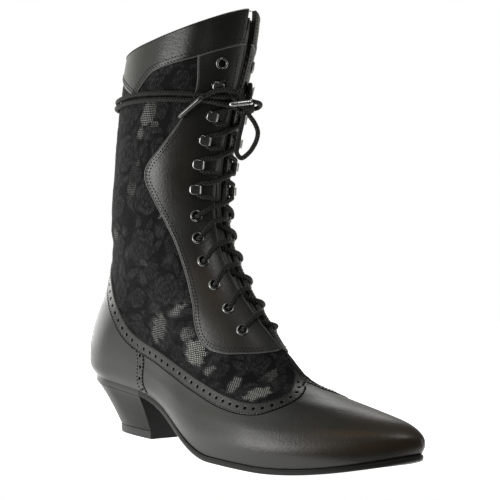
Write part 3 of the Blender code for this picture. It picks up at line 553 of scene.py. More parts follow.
def tube(stops, radius, sides, relief=0.0, thin=0):
    """Points and faces of a round cord with domed ends; its last stops may be thin, inside an aglet."""
    stops = np.asarray(stops, float)
    heading = np.gradient(stops, axis=0)
    heading /= np.linalg.norm(heading, axis=1, keepdims=True)
    reach = radius * DOME_REACH[:, None]
    line = np.vstack([stops[0] - heading[0] * reach, stops, stops[-1] + heading[-1] * reach[::-1]])
    heading = np.pad(heading, ((2, 2), (0, 0)), mode="edge")
    size = np.full(len(line), radius)
    size[:2] *= DOME_SIZE
    size[-2:] *= DOME_SIZE[::-1]
    if thin:
        size[-thin - 2:] *= THIN_SHARE
    braid = np.zeros((len(line), 1))
    if relief:
        braid = braid_height(tube_values(stops, sides)[:-2].reshape(len(line), sides, 3))
    spoke = np.cross(heading[0], FIRST_SPOKE)
    swing = full_turn(sides)[:, None]
    rings = []
    for centre, ahead, width, rise in zip(line, heading, size, braid):
        spoke = spoke - ahead * spoke.dot(ahead)
        spoke = spoke / np.linalg.norm(spoke)
        ray = np.cos(swing) * spoke + np.sin(swing) * np.cross(ahead, spoke)
        rings.append(centre + width * (1 + relief * rise)[:, None] * ray)
    tips = np.vstack([line[0] - heading[0] * DOME_TIP * radius, line[-1] + heading[-1] * DOME_TIP * radius])
    corner = np.arange(sides)
    after = (corner + 1) % sides
    last_ring = (len(line) - 1) * sides
    tip = np.full(sides, len(line) * sides)
    caps = [np.stack([tip, after, corner], 1), np.stack([tip + 1, last_ring + corner, last_ring + after], 1)]
    return np.vstack([*rings, tips]), [grid_faces(len(line), sides, closed=True), *caps]


def braid_height(place):
    """Rise of the braid at places along and round a cord, from -1 to 1."""
    along, turn = place[..., 0] / BRAID_PITCH, place[..., 1] * BRAID_STRANDS
    bands = [np.abs(np.mod(along + sense * turn, 1.0) - 0.5) for sense in (1, -1)]
    return 4 * (0.5 - np.minimum(*bands)) - 1


def tube_values(route, sides):
    """Distance along a cord and turn about it, for each point of its tube."""
    run = np.pad(distances(route), 2, mode="edge")
    turn = np.linspace(0, 1, sides, endpoint=False)
    grid = np.stack(np.broadcast_arrays(run[:, None], turn[None, :], np.zeros((1, 1))), -1).reshape(-1, 3)
    return np.vstack([grid, [(run[0], 0, 0), (run[-1], 0, 0)]])


def raised_line(path, height, side):
    """Points at a height over the upper and its folds, along a path of angles and levels."""
    angle, level = np.asarray(path, float).T
    return above(side * angle, level, height + folds(side * angle, level))


# One stitch: places along it in lengths, and rise and thickness there in radii; it is flatter than round
STITCH_ALONG = np.array([-0.5, -0.3, 0.0, 0.3, 0.5]) * STITCH_LENGTH
STITCH_LIFT = np.array([-1.2, 0.1, 0.5, 0.1, -1.2]) * STITCH_RADIUS
STITCH_THICK = np.array([0.5, 1.0, 1.05, 1.0, 0.5]) * STITCH_RADIUS
STITCH_WIDE, STITCH_SIDES = 1.3, 6


def stitch_row(path, height, side=1):
    """Short threads end to end along a path of angles and levels, half sunk in the leather."""
    angle, level = np.asarray(path, float).T
    line = raised_line(path, height, side)
    run = distances(line)
    middles = np.arange(0.5 * STITCH_PITCH, run[-1], STITCH_PITCH)
    centre = read_at(middles[:, None] + STITCH_ALONG, run, line)
    normal = read_at(middles, run, last_normal(wrapped(side * angle), level))
    ahead = centre[:, -1] - centre[:, 0]
    ahead /= np.linalg.norm(ahead, axis=1, keepdims=True)
    aside = STITCH_WIDE * np.cross(normal, ahead)
    centre = centre + normal[:, None] * STITCH_LIFT[:, None]
    swing = full_turn(STITCH_SIDES)[:, None]
    ring = normal[:, None, None] * np.cos(swing) + aside[:, None, None] * np.sin(swing)
    points = centre[:, :, None] + ring * STITCH_THICK[:, None, None]
    one = grid_faces(len(STITCH_ALONG), STITCH_SIDES, closed=True)
    faces = (np.arange(len(middles)) * len(STITCH_ALONG) * STITCH_SIDES)[:, None, None] + one
    return points.reshape(-1, 3), faces.reshape(-1, 4)


def bead(path, height, radius, side=1, spacing=1.2):
    """A round raised edge along a path of angles and levels."""
    line = raised_line(path, height, side)
    return tube(respaced(line, line, spacing)[0], radius, BEAD_SIDES)


# Materials


class Nodes:
    """Adds nodes to a tree; each input is a constant or the socket that feeds it."""

    def __init__(self, tree):
        self.tree = tree

    def add(self, kind, inputs=None, **settings):
        node = self.tree.nodes.new(kind)
        for key, value in settings.items():
            setattr(node, key, value)
        for key, value in (inputs or {}).items():
            if isinstance(value, bpy.types.NodeSocket):
                self.tree.links.new(value, node.inputs[key])
            else:
                node.inputs[key].default_value = value
        return node

    def spread(self, value, low, high, to_low=0.0, to_high=1.0, **settings):
        inputs = {"Value": value, "From Min": low, "From Max": high, "To Min": to_low, "To Max": to_high}
        return self.add("ShaderNodeMapRange", inputs, **settings).outputs["Result"]

    def math(self, operation, first, second):
        return self.add("ShaderNodeMath", {0: first, 1: second}, operation=operation).outputs[0]

    def weighed(self, first, first_share, second, second_share):
        """The sum of two values, each with its share."""
        shares = self.math("MULTIPLY", first, first_share), self.math("MULTIPLY", second, second_share)
        return self.math("ADD", *shares)


class Look(Nodes):
    """A Principled material with its texture nodes; constants sit on the shader's own sockets."""

    def __init__(self, name, **constants):
        self.material = bpy.data.materials.new(name)
        self.material.use_nodes = True
        super().__init__(self.material.node_tree)
        self.shader = self.tree.nodes["Principled BSDF"]
        for socket, value in constants.items():
            self.shader.inputs[socket.replace("_", " ")].default_value = value
        self.place = self.add("ShaderNodeTexCoord").outputs["Object"]

    def noise(self, scale, detail=3.0, place=None, roughness=0.5):
        inputs = {"Vector": place or self.place, "Scale": scale, "Detail": detail, "Roughness": roughness}
        return self.add("ShaderNodeTexNoise", inputs).outputs["Fac"]

    def cells(self, scale, place=None, randomness=1.0, **settings):
        inputs = {"Vector": place or self.place, "Scale": scale, "Randomness": randomness}
        return self.add("ShaderNodeTexVoronoi", inputs, **settings).outputs["Distance"]

    def wave(self, scale, distortion, detail, direction):
        inputs = {"Vector": self.place, "Scale": scale, "Distortion": distortion, "Detail": detail}
        return self.add("ShaderNodeTexWave", inputs, bands_direction=direction).outputs["Fac"]

    def mix(self, factor, first, second):
        ends = [end if isinstance(end, bpy.types.NodeSocket) else (*end, 1.0) for end in (first, second)]
        return self.add("ShaderNodeMix", {0: factor, 6: ends[0], 7: ends[1]}, data_type="RGBA").outputs[2]

    def value(self, name, output="Fac"):
        return self.add("ShaderNodeAttribute", attribute_name=name).outputs[output]

    def bump(self, height, strength, distance, **normal):
        inputs = {"Height": height, "Strength": strength, "Distance": distance, **normal}
        return self.add("ShaderNodeBump", inputs).outputs["Normal"]

    def set(self, **links):
        for socket, value in links.items():
            self.tree.links.new(value, self.shader.inputs[socket.replace("_", " ")])
        return self.material


def grey(value):
    return (value, value, value)


# Depths of relief in metres, and the strength of the leather's pores
FINE_DEPTH, COARSE_DEPTH, SCRATCH_DEPTH = 0.0002, 0.0003, 0.0001
PORE_GRAIN = 0.38


def leather(name, dark, light, brown_sheen, rough):
    """Satin calf leather with fine pores; one value paints brown reflections on it, and the hole value paints
    shade into holes.
    """
    look = Look(name, Specular_IOR_Level=0.5, Coat_Weight=0.06, Coat_Roughness=0.25)
    patch = look.noise(38.0, 4.0)
    cloud = look.noise(9.0, 2.0)
    colour = look.mix(look.spread(patch, 0.35, 0.7), dark, light)
    # painted reflection: brown sheen spots, broken up by a cloud noise
    brown_sheen_share = look.math("MULTIPLY", look.value("brown_sheen"), look.spread(cloud, 0.3, 0.62))
    colour = look.mix(brown_sheen_share, colour, brown_sheen)
    # painted shade: the punched holes go near black
    colour = look.mix(look.value("hole"), colour, grey(0.002))
    pores = look.cells(760.0, feature="SMOOTH_F1")
    fibre = look.noise(1500.0, 2.0)
    wear = look.noise(420.0, 4.0)
    normal = look.bump(look.weighed(pores, 1.0, fibre, 0.45), PORE_GRAIN, FINE_DEPTH)
    normal = look.bump(wear, 0.04, COARSE_DEPTH, Normal=normal)
    roughness = look.spread(look.weighed(patch, 1.0, wear, 0.4), 0.45, 0.95, *rough)
    return look.set(Base_Color=colour, Roughness=roughness, Normal=normal)


def floral_lace():
    """Black floral lace over grey net; petal, outline and window are charted on the mesh."""
    look = Look("floral_lace", Specular_IOR_Level=0.1)
    cloth = look.value("cloth", "Vector")
    net = look.cells(0.69, cloth, 0.25, feature="DISTANCE_TO_EDGE", voronoi_dimensions="2D")
    threads = look.spread(net, 0.14, 0.30)
    fibres = look.noise(1.9, 3.0, cloth, 0.65)
    stretch = {"Vector": cloth, "Scale": (1.3, 0.28, 1.0), "Rotation": (0.0, 0.0, 0.5)}
    streaks = look.noise(1.0, 3.0, look.add("ShaderNodeMapping", stretch).outputs[0], 0.6)
    mottle = look.noise(0.085, 3.0, cloth, 0.55)
    petal, outline, window = (look.value(key) for key in ("petal", "outline", "window"))
    hatch = look.spread(look.math("PINGPONG", look.value("ray"), 0.5), 0.08, 0.42)
    backing = look.mix(look.spread(fibres, 0.3, 0.75), (0.20, 0.20, 0.19), (0.70, 0.70, 0.665))
    open_net = look.mix(threads, grey(0.012), backing)
    thin = look.math("MULTIPLY", look.spread(mottle, 0.50, 0.60), look.spread(streaks, 0.35, 0.65))
    dense = look.mix(thin, (0.004, 0.004, 0.0045), (0.045, 0.045, 0.047))
    shine = look.math("MULTIPLY", threads, look.spread(fibres, 0.4, 0.7))
    dense = look.mix(shine, dense, (0.018, 0.018, 0.019))
    ground = look.mix(window, dense, open_net)
    fill = look.math("MULTIPLY", hatch, look.spread(streaks, 0.36, 0.66))
    flower = look.mix(fill, (0.003, 0.003, 0.0035), (0.075, 0.075, 0.077))
    colour = look.mix(petal, ground, flower)
    colour = look.mix(outline, colour, grey(0.003))
    normal = look.bump(look.weighed(net, 0.8, fill, 0.8), 0.5, COARSE_DEPTH)
    roughness = look.spread(fibres, 0.3, 0.7, 0.62, 0.85)
    return look.set(Base_Color=colour, Roughness=roughness, Normal=normal)


def woven_lining():
    """Light lining cloth of two crossing sets of threads."""
    look = Look("woven_lining", Specular_IOR_Level=0.2, Sheen_Weight=0.1)
    weave = look.math("MULTIPLY", *(look.wave(420.0, 0.6, 1.0, direction) for direction in ("X", "Z")))
    patch = look.noise(30.0, 4.0)
    colour = look.mix(look.spread(patch, 0.3, 0.7), (0.27, 0.265, 0.255), (0.36, 0.355, 0.345))
    colour = look.mix(look.spread(weave, 0.0, 0.5), (0.18, 0.178, 0.17), colour)
    roughness = look.spread(patch, 0.3, 0.7, 0.75, 0.92)
    return look.set(Base_Color=colour, Roughness=roughness, Normal=look.bump(weave, 0.3, FINE_DEPTH))


def braided_cord():
    """Braid: two sets of bands that run round the cord in opposite turns, painted lighter on their crests and
    darker between them.
    """
    look = Look("braided_cord", Specular_IOR_Level=0.15, Sheen_Weight=0.03)
    parts = look.add("ShaderNodeSeparateXYZ", {0: look.value("braid", "Vector")})
    along, turn = parts.outputs[0], parts.outputs[1]
    bands = []
    for strands in (BRAID_STRANDS, -BRAID_STRANDS):
        bands.append(look.math("PINGPONG", look.weighed(along, 1 / BRAID_PITCH, turn, strands), 0.5))
    fuzz = look.noise(1800.0, 3.0)
    painted_braid_shade = look.weighed(look.math("MAXIMUM", *bands), 1.2, fuzz, 0.6)
    # painted highlight and shade: lighter on the braid's crests, darker between them
    colour = look.mix(look.spread(painted_braid_shade, 0.58, 0.95), grey(0.0015), (0.058, 0.058, 0.056))
    roughness = look.spread(fuzz, 0.3, 0.7, 0.55, 0.78)
    return look.set(Base_Color=colour, Roughness=roughness, Normal=look.bump(painted_braid_shade, 0.6, COARSE_DEPTH))


def metal(name, dark, light, rough):
    """Tumbled metal with fine scratches."""
    look = Look(name, Metallic=1.0, Coat_Weight=0.2, Coat_Roughness=0.12)
    patch = look.noise(320.0, 4.0)
    scratch = look.noise(2400.0, 3.0)
    colour = look.mix(look.spread(patch, 0.35, 0.65), dark, light)
    roughness = look.spread(scratch, 0.3, 0.7, *rough)
    return look.set(Base_Color=colour, Roughness=roughness, Normal=look.bump(scratch, 0.06, SCRATCH_DEPTH))


def layered(name, dark, light, rough, line_scale, lines, gloss=0.5):
    """Burnished edges of stacked or laid leather, with faint lines along it."""
    look = Look(name, Specular_IOR_Level=gloss, Coat_Weight=0.1 * gloss, Coat_Roughness=0.3)
    patch = look.noise(70.0, 4.0)
    bands = look.wave(line_scale, 1.5, 2.0, "Z")
    fine = look.noise(1500.0, 3.0)
    colour = look.mix(look.spread(look.weighed(bands, lines, patch, 1 - lines), 0.25, 0.75), dark, light)
    normal = look.bump(look.weighed(bands, lines, fine, 0.3), 0.15, FINE_DEPTH)
    return look.set(Base_Color=colour, Roughness=look.spread(fine, 0.3, 0.7, *rough), Normal=normal)


def speckled(name, noise, span, dark, light, rough, relief, **constants):
    """A plain material whose colour, roughness and relief follow one fine noise."""
    look = Look(name, **constants)
    speck = look.noise(*noise)
    colour = look.mix(look.spread(speck, *span), dark, light)
    roughness = look.spread(speck, 0.3, 0.7, *rough)
    return look.set(Base_Color=colour, Roughness=roughness, Normal=look.bump(speck, relief, FINE_DEPTH))


def shadow_black():
    """Matt near-black with no gloss: painted shade for the floors of punched holes and for shadow lines."""
    look = Look("matt_painted_shade", Specular_IOR_Level=0.0, Roughness=1.0)
    fluff = look.noise(900.0, 2.0)
    return look.set(Base_Color=look.mix(look.spread(fluff, 0.3, 0.7), grey(0.0008), grey(0.002)))


# brown sheen colour for leathers whose meshes carry no painted sheen spots
PLAIN_BROWN_SHEEN = (0.04, 0.03, 0.02)
# painted shade: matt black for the floors of the punched holes and the lines under the strips' edges
PAINTED_SHADE = shadow_black()
# the third colour is the painted brown reflection
LEATHER = leather(
    "satin_leather", (0.0078, 0.0077, 0.0063), (0.0118, 0.0116, 0.0095), (0.052, 0.029, 0.012), (0.27, 0.39))
TONGUE_LEATHER = leather(
    "tongue_leather", (0.022, 0.0215, 0.021), (0.040, 0.039, 0.038), PLAIN_BROWN_SHEEN, (0.28, 0.42))
# painted highlight: the turned edges are a lighter leather so that they show as light lines
EDGE_HIGHLIGHT = leather("edge_highlight_leather", (0.060, 0.059, 0.058), (0.11, 0.108, 0.105), PLAIN_BROWN_SHEEN, (0.3, 0.42))
LACE_PANEL = floral_lace()
LINING = woven_lining()
CORD = braided_cord()
GUNMETAL = metal("gunmetal", (0.16, 0.16, 0.157), (0.26, 0.26, 0.255), (0.09, 0.17))
HOOK_STEEL = metal("hook_steel", (0.24, 0.24, 0.237), (0.36, 0.36, 0.355), (0.08, 0.16))
SILVER = metal("bright_tip", grey(0.48), (0.62, 0.62, 0.61), (0.16, 0.26))
SOLE = layered("burnished_sole", (0.002, 0.002, 0.0018), (0.006, 0.0058, 0.005), (0.46, 0.6), 260.0, 0.3, 0.3)
HEEL = layered("heel_cover", (0.005, 0.0049, 0.0044), (0.010, 0.0098, 0.0088), (0.34, 0.46), 60.0, 0.12, 0.18)
SEAT_EDGE = layered("seat_edge", (0.004, 0.004, 0.0036), (0.009, 0.0088, 0.0079), (0.30, 0.42), 60.0, 0.12)
# painted shade: the heel's front face under the arch is darker than the heel cover
SHADED_BREAST = layered(
    "heel_breast_shade", (0.0016, 0.0016, 0.0014), (0.004, 0.004, 0.0035), (0.62, 0.78), 120.0, 0.3, 0.25)
TOP_LIFT = layered("top_lift_rubber", (0.004, 0.004, 0.0038), (0.009, 0.009, 0.0085), (0.45, 0.62), 90.0, 0.1)
THREAD = speckled(
    "stitch_thread", (2200.0, 2.0), (0.35, 0.65), grey(0.003), grey(0.010), (0.5, 0.75), 0.3,
    Specular_IOR_Level=0.3)
AGLET = speckled(
    "aglet_tip", (900.0, 3.0), (0.35, 0.70), (0.016, 0.016, 0.017), (0.030, 0.030, 0.031), (0.16, 0.3), 0.1,
    Specular_IOR_Level=0.6, Coat_Weight=0.8, Coat_Roughness=0.08)


# Camera, light and floor


def camera_axes():
    turn, rise, roll = (math.radians(angle) for angle in (CAMERA_TURN, CAMERA_RISE, CAMERA_ROLL))
    back = Vector((math.sin(turn) * math.cos(rise), -math.cos(turn) * math.cos(rise), math.sin(rise)))
    right = Vector((math.cos(turn), math.sin(turn), 0.0))
    up = back.cross(right)
    return right * math.cos(roll) + up * math.sin(roll), up * math.cos(roll) - right * math.sin(roll), back


def build_camera():
    """The camera aims a little to the right of the boot's middle and below it, as the photo is framed."""
    right, up, back = camera_axes()
    place = Vector(placed(CAMERA_TARGET)[0]) + back * CAMERA_DISTANCE * MM
    ahead = (-back * FOCAL_PIXELS + right * TARGET_LEFT_PIXELS - up * TARGET_UP_PIXELS).normalized()
    right = (right - ahead * right.dot(ahead)).normalized()
    up = right.cross(ahead)
    data = bpy.data.cameras.new("photo_camera")
    data.sensor_width = SENSOR_WIDTH
    data.lens = SENSOR_WIDTH * FOCAL_PIXELS / IMAGE_WIDTH
    camera = bpy.data.objects.new("photo_camera", data)
    camera.matrix_world = Matrix.Translation(place) @ Matrix((right, up, -ahead)).transposed().to_4x4()
    bpy.context.scene.collection.objects.link(camera)
    bpy.context.scene.camera = camera


def area_light(name, place, target, width, height, watts):
    data = bpy.data.lights.new(name, "AREA")
    data.shape = "RECTANGLE"
    data.size, data.size_y = width, height
    data.energy = watts
    lamp = bpy.data.objects.new(name, data)
    lamp.visible_camera = False
    lamp.location = place
    lamp.rotation_euler = (Vector(target) - Vector(place)).to_track_quat("-Z", "Y").to_euler()
    bpy.context.scene.collection.objects.link(lamp)


def build_surroundings():
    """White surroundings, dimmer overhead and on the inner side, and dim on the camera's side."""
    world = bpy.data.worlds.new("studio")
    bpy.context.scene.world = world
    world.use_nodes = True
    world.node_tree.nodes.clear()
    nodes = Nodes(world.node_tree)
    direction = nodes.add("ShaderNodeTexCoord").outputs["Generated"]
    level = 1.0
    for middle, dots, strengths in TENT:
        inputs = {0: direction, 1: Vector(middle).normalized()}
        towards = nodes.add("ShaderNodeVectorMath", inputs, operation="DOT_PRODUCT").outputs["Value"]
        fade = nodes.spread(towards, *dots, *strengths, interpolation_type="SMOOTHSTEP")
        level = nodes.math("MULTIPLY", level, fade)
    lit = nodes.add("ShaderNodeBackground", {"Color": TENT_COLOUR, "Strength": level}).outputs[0]
    seen = nodes.add("ShaderNodeBackground", {"Color": WHITE}).outputs[0]
    to_camera = nodes.add("ShaderNodeLightPath").outputs["Is Camera Ray"]
    choose = nodes.add("ShaderNodeMixShader", {0: to_camera, 1: lit, 2: seen}).outputs[0]
    nodes.add("ShaderNodeOutputWorld", {0: choose})


def build_floor():
    """A pale floor turned with the camera, with a glow that changes from left to right."""
    turn = math.radians(CAMERA_TURN)
    look = Look("studio_floor", Roughness=0.9, Specular_IOR_Level=0.1, Emission_Color=WHITE)
    tone = look.noise(3.0, 2.0)
    turned = look.add("ShaderNodeMapping", {"Vector": look.place, "Rotation": (0.0, 0.0, -turn)})
    across = look.add("ShaderNodeSeparateXYZ", {0: turned.outputs[0]}).outputs[0]
    colour = look.mix(look.spread(tone, 0.3, 0.7), grey(0.94), grey(0.96))
    look.set(Base_Color=colour, Emission_Strength=look.spread(across, *FLOOR_GLOW))
    right = Vector((math.cos(turn), math.sin(turn), 0))
    before = Vector((math.sin(turn), -math.cos(turn), 0))
    left_end, right_end = -right * FLOOR_REACH["left"], right * FLOOR_REACH["right"]
    far_end, near_end = -before * FLOOR_REACH["behind"], before * FLOOR_REACH["before"]
    corners = (left_end + far_end, left_end + near_end, right_end + near_end, right_end + far_end)
    mesh = bpy.data.meshes.new("studio_floor")
    mesh.from_pydata(corners, [], [(0, 1, 2, 3)])
    mesh.materials.append(look.material)
    floor = bpy.data.objects.new("studio_floor", mesh)
    bpy.context.scene.collection.objects.link(floor)
    floor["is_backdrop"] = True


build_camera()
build_surroundings()
build_floor()
for lamp_name, lamp_place, lamp_width, lamp_height, lamp_watts in LAMPS:
    area_light(lamp_name, lamp_place, LAMP_TARGET, lamp_width, lamp_height, lamp_watts)
bpy.context.scene.view_settings.view_transform = "Standard"


# Lace


def seat(kind_row, side):
    """Place, outward direction, direction up the throat and direction away from it, for one fastening."""
    _, level, reach = kind_row
    angle = side * float(front_angle(level, reach))
    out = last_normal(angle, level)
    up = last_point(angle, level + LEVEL_STEP) - last_point(angle, level - LEVEL_STEP)
    up = up / np.linalg.norm(up)
    away = np.cross(up, out)
    away = away / np.linalg.norm(away)
    if away[1] * side < 0:
        away = -away
    return last_point(angle, level), out, up, away


knot_centre = above(1.0, KNOT_LEVEL, KNOT_LIFT)


def from_knot(route):
    return [knot_centre + np.array(stop) for stop in route]


def over_upper(route):
    return [above(*stop) for stop in route]


def braided(name, routes, stands_for, hidden=0.0):
    """Cords along routes, as one piece; the hidden length at their far end lies in an aglet."""
    lines = [smooth_route(route, BRAID_STEP) for route in routes]
    thin = int(hidden / BRAID_STEP)
    parts = [tube(line, LACE_RADIUS, BRAID_SIDES, BRAID_RELIEF, thin) for line in lines]
    braid = np.vstack([tube_values(line, BRAID_SIDES) for line in lines])
    return piece(name, parts, CORD, {"braid": braid}, stands_for), lines[0]


def declare_cord(made, stops):
    """Works out how long a free cord is, in metres; nothing uses the length."""
    length = round(float(distances(stops)[-1]) * MM, 4)


# Aglet: shares of its length, and its width in radii there and on the two domed rings at each end
AGLET_ALONG = np.array((0.0, 0.06, 0.12, 0.5, 0.9, 0.97, 1.0))
AGLET_WIDTH = np.array((0.376, 0.799, 0.94, 1.02, 1.0, 0.98, 0.98, 0.9, 0.75, 0.6375, 0.3)) * AGLET_RADIUS
AGLET_SIDES = 16
AGLET_COVER = 0.9


def build_aglet(name, ends, look, stands_for):
    """A short hard tip over a lace's end."""
    first, last = ends
    points, faces = tube(first + (last - first) * AGLET_ALONG[:, None], 1.0, AGLET_SIDES)
    rings = points[:-2].reshape(-1, AGLET_SIDES, 3)
    centre = rings.mean(1, keepdims=True)
    spoke = rings - centre
    spoke /= np.linalg.norm(spoke, axis=2, keepdims=True)
    rings = centre + spoke * AGLET_WIDTH[:, None, None]
    part = (np.vstack([rings.reshape(-1, 3), points[-2:]]), faces)
    return piece(name, [part], look, None, stands_for)


# The knot's rounds: place along it, tilt, half width and half height; then its two limbs
KNOT_ROUNDS = ((-2.1, 0.35, 2.5, 2.7), (0.4, -0.25, 2.9, 3.0), (2.6, 0.3, 2.4, 2.6))
KNOT_SWAY, KNOT_STEPS = 3.0, 40
KNOT_LIMBS = (
    ((0.9, -5.6, 1.5), (2.4, -3.2, 0.6), (2.9, -0.6, -0.4), (2.2, 2.2, -1.6), (1.6, 1.6, -3.6)),
    ((0.6, 5.4, 0.4), (2.0, 3.6, 1.2), (0.2, 1.0, 2.6), (-1.2, -1.6, 0.4), (-0.9, -1.3, -3.6)),
)


def build_knot():
    """An overhand knot drawn up tight: a wrap round the two limbs, seen as rounds of cord side by side."""
    turn = np.linspace(0, 2 * math.pi, KNOT_STEPS)
    wraps = []
    for shift, tilt, wide, tall in KNOT_ROUNDS:
        aside = shift + tilt * KNOT_SWAY * np.sin(turn)
        wraps.append(np.stack([wide * np.cos(turn), aside, tall * np.sin(turn)], 1))
    wraps += [np.array(limb) for limb in KNOT_LIMBS]
    braided("lace_knot_wraps", [knot_centre + wrap for wrap in wraps], ("lace_knot",))


def build_turns():
    """Two turns of lace round the shaft, from the knot to the knot."""
    aside = KNOT_RADII[1] + LACE_RADIUS + GAP
    for name, route, rise in (("lace_turn_upper", UPPER_TURN, UPPER_TURN_RISE),
                              ("lace_turn_lower", LOWER_TURN, LOWER_TURN_RISE)):
        start, end = from_knot(((-TURN_BACK, -aside, rise), (-TURN_BACK, aside, rise)))
        made, stops = braided(f"{name}_cord", [[start, *over_upper(route), end]], (name,))
        declare_cord(made, stops)


FRONT_START, OUTER_START = (0.8, 3.4, 0.2), (0.4, -3.4, 1.2)


def build_lace_end(place, look, start, route, tip_ends):
    """A free end of the lace from inside the knot, with its aglet."""
    name, tip_name = f"lace_end_{place}", f"aglet_{place}"
    tip = build_aglet(f"{tip_name}_tip", tip_ends, look, (tip_name,))
    covered = AGLET_COVER * float(np.linalg.norm(tip_ends[1] - tip_ends[0]))
    made, stops = braided(f"{name}_cord", [from_knot((start,)) + route + tip_ends], (name,), covered)
    declare_cord(made, stops)


def build_bow():
    """The one bow loop and the two ends."""
    made, stops = braided("bow_loop_cord", [from_knot(BOW_LOOP)], ("lace_loop",))
    declare_cord(made, stops)
    build_lace_end("front", SILVER, FRONT_START, from_knot(FRONT_END), from_knot(FRONT_AGLET))
    build_lace_end("outer", AGLET, OUTER_START, over_upper(OUTER_END), over_upper(OUTER_AGLET))


# How the lace runs: heights over the upper where it is under a facing, over its edge and over the throat
UNDER_FACING = -2.4
OVER_FACING = FACING_RISE + LACE_RADIUS + 0.1
CROSS_LOW, CROSS_HIGH, CROSS_ANGLE = 0.2, 3.1, 0.985
# Through an eyelet: depth in it, height over it, and how far towards the throat below and above it
EYELET_DEPTH, EYELET_TOP, EYELET_BELOW, EYELET_ABOVE = 0.6, 2.3, 1.2, 1.6
# Round a hook: height and place of its neck, half its width, and how far out the lace comes and goes
HOOK_NECK_HEIGHT, HOOK_NECK_IN, HOOK_NECK_HALF, HOOK_NECK_SHARE, HOOK_NECK_BACK = 2.5, -0.9, 2.9, 0.75, 0.9
HOOK_APPROACH, HOOK_BEFORE, HOOK_AFTER = 4.6, 1.4, 1.0
# Shares of the way up to the next eyelet where a cord leaves its own facing, crosses and goes under the other
LACE_STEPS = {-1: (0.70, 0.86, 0.95), 1: (0.30, 0.52, 0.74)}
# Shares of the way up to the next hook, distances from the throat's edge there and lifts over the facing
HOOK_STEPS, HOOK_INSETS, HOOK_LIFT, HOOK_ARRIVE = (0.28, 0.5, 0.70), (3.0, 3.6), 1.0, 0.6
# Distances from the throat's edge where a cord leaves, dives and lies below, with its lift and drop
LEAVE_INSET, LEAVE_LIFT, DIVE_INSET, DIVE_DROP, BELOW_INSET = 2.0, 0.8, 1.2, 0.4, 6.0
# To the knot from the last hook: levels down, reach from the middle and height, and the end in the knot
KNOT_WAY_DOWN, KNOT_WAY_REACH, KNOT_WAY_HEIGHT = (0.1, 0.12), 7.0, 5.4
KNOT_END_ASIDE, KNOT_END_DROP = 2.0, -0.5
FOOT_INSET = 4.0
LACED = FASTENINGS[:11]


def edge_point(level, side, inward, height):
    """A point a distance from the throat's edge, on the facing for a positive distance."""
    reach = throat_half(level) + inward
    return above(side * front_angle(level, reach), level, height)


def through_eyelet(row, side):
    """From under the facing up through an eyelet."""
    centre, out, _, away = seat(row, side)
    return [centre + out * UNDER_FACING - away * EYELET_BELOW, centre - out * EYELET_DEPTH,
            centre + out * EYELET_TOP - away * EYELET_ABOVE]


def round_hook(row, side):
    """Behind a hook's neck from below to above."""
    centre, out, up, away = seat(row, side)
    centre = centre + out * HOOK_NECK_HEIGHT
    neck, outside = centre + away * HOOK_NECK_IN, centre - away * HOOK_APPROACH
    half = up * HOOK_NECK_HALF * HOOK_NECK_SHARE
    return [outside - up * (HOOK_NECK_HALF + HOOK_BEFORE), neck - half, neck + away * HOOK_NECK_BACK,
            neck + half, outside + up * (HOOK_NECK_HALF + HOOK_AFTER)]


def to_next_eyelet(level, step, side):
    """Over the throat and under the other facing; the outer side's cords cross on top."""
    leave, cross, dive = (level + share * step for share in LACE_STEPS[side])
    lift, height = (LEAVE_LIFT, CROSS_HIGH) if side < 0 else (0.0, CROSS_LOW)
    return [edge_point(leave, side, LEAVE_INSET, OVER_FACING + lift),
            above(side * CROSS_ANGLE, cross, height),
            edge_point(dive, -side, DIVE_INSET, UNDER_FACING - DIVE_DROP),
            edge_point(0.5 * (level + step + dive), -side, BELOW_INSET, UNDER_FACING)]


def to_next_hook(level, step, side, lift, over):
    """Over the throat from facing to facing."""
    leave, cross, arrive = (level + share * step for share in HOOK_STEPS)
    return [edge_point(leave, side, HOOK_INSETS[0], OVER_FACING + lift),
            above(1.0, cross, CROSS_HIGH if over else CROSS_LOW),
            edge_point(arrive, -side, HOOK_INSETS[1], OVER_FACING + HOOK_ARRIVE)]


def to_knot(level, side):
    """From the last hook into the knot."""
    angle_down, level_down = KNOT_WAY_DOWN
    angle = side * front_angle(level - angle_down, KNOT_WAY_REACH)
    return [above(angle, level - level_down, KNOT_WAY_HEIGHT),
            knot_centre + (0.0, side * KNOT_END_ASIDE, KNOT_END_DROP)]


def lacing_route(side, over):
    """One half of the lace, up both sides of the throat in turn."""
    route = []
    for row, after in zip(LACED, LACED[1:] + (None,)):
        kind, level, _ = row
        route += through_eyelet(row, side) if kind == "eyelet" else round_hook(row, side)
        if after is None:
            route += to_knot(level, side)
        elif after[0] == "eyelet":
            route += to_next_eyelet(level, after[1] - level, side)
        else:
            route += to_next_hook(level, after[1] - level, side, HOOK_LIFT if kind == "hook" else 0.0, over)
        side, over = -side, not over
    return route


def foot_bar():
    """The length under the facings between the two lowest eyelets."""
    level = FASTENINGS[0][1]
    ends, edges = [], []
    for side in (1, -1):
        centre, out, _, _ = seat(FASTENINGS[0], side)
        ends.append(centre + out * UNDER_FACING)
        edges.append(edge_point(level, side, FOOT_INSET, UNDER_FACING))
    return [ends[0], edges[0], above(1.0, level, UNDER_FACING), edges[1], ends[1]]


build_knot()
build_turns()
build_bow()
crossings = [lacing_route(-1, True), lacing_route(1, False), foot_bar()]
braided("lace_crossing_cords", crossings, ("lace_crossings",))


# Panels of the upper


EYELETS = [row for row in FASTENINGS if row[0] == "eyelet"]
EYELET_PLACES = {side: [seat(row, side)[0] for row in EYELETS] for side in SIDE_NAMES}
ALL_EYELETS = EYELET_PLACES[-1] + EYELET_PLACES[1]
FACING_HOLE = 3.0


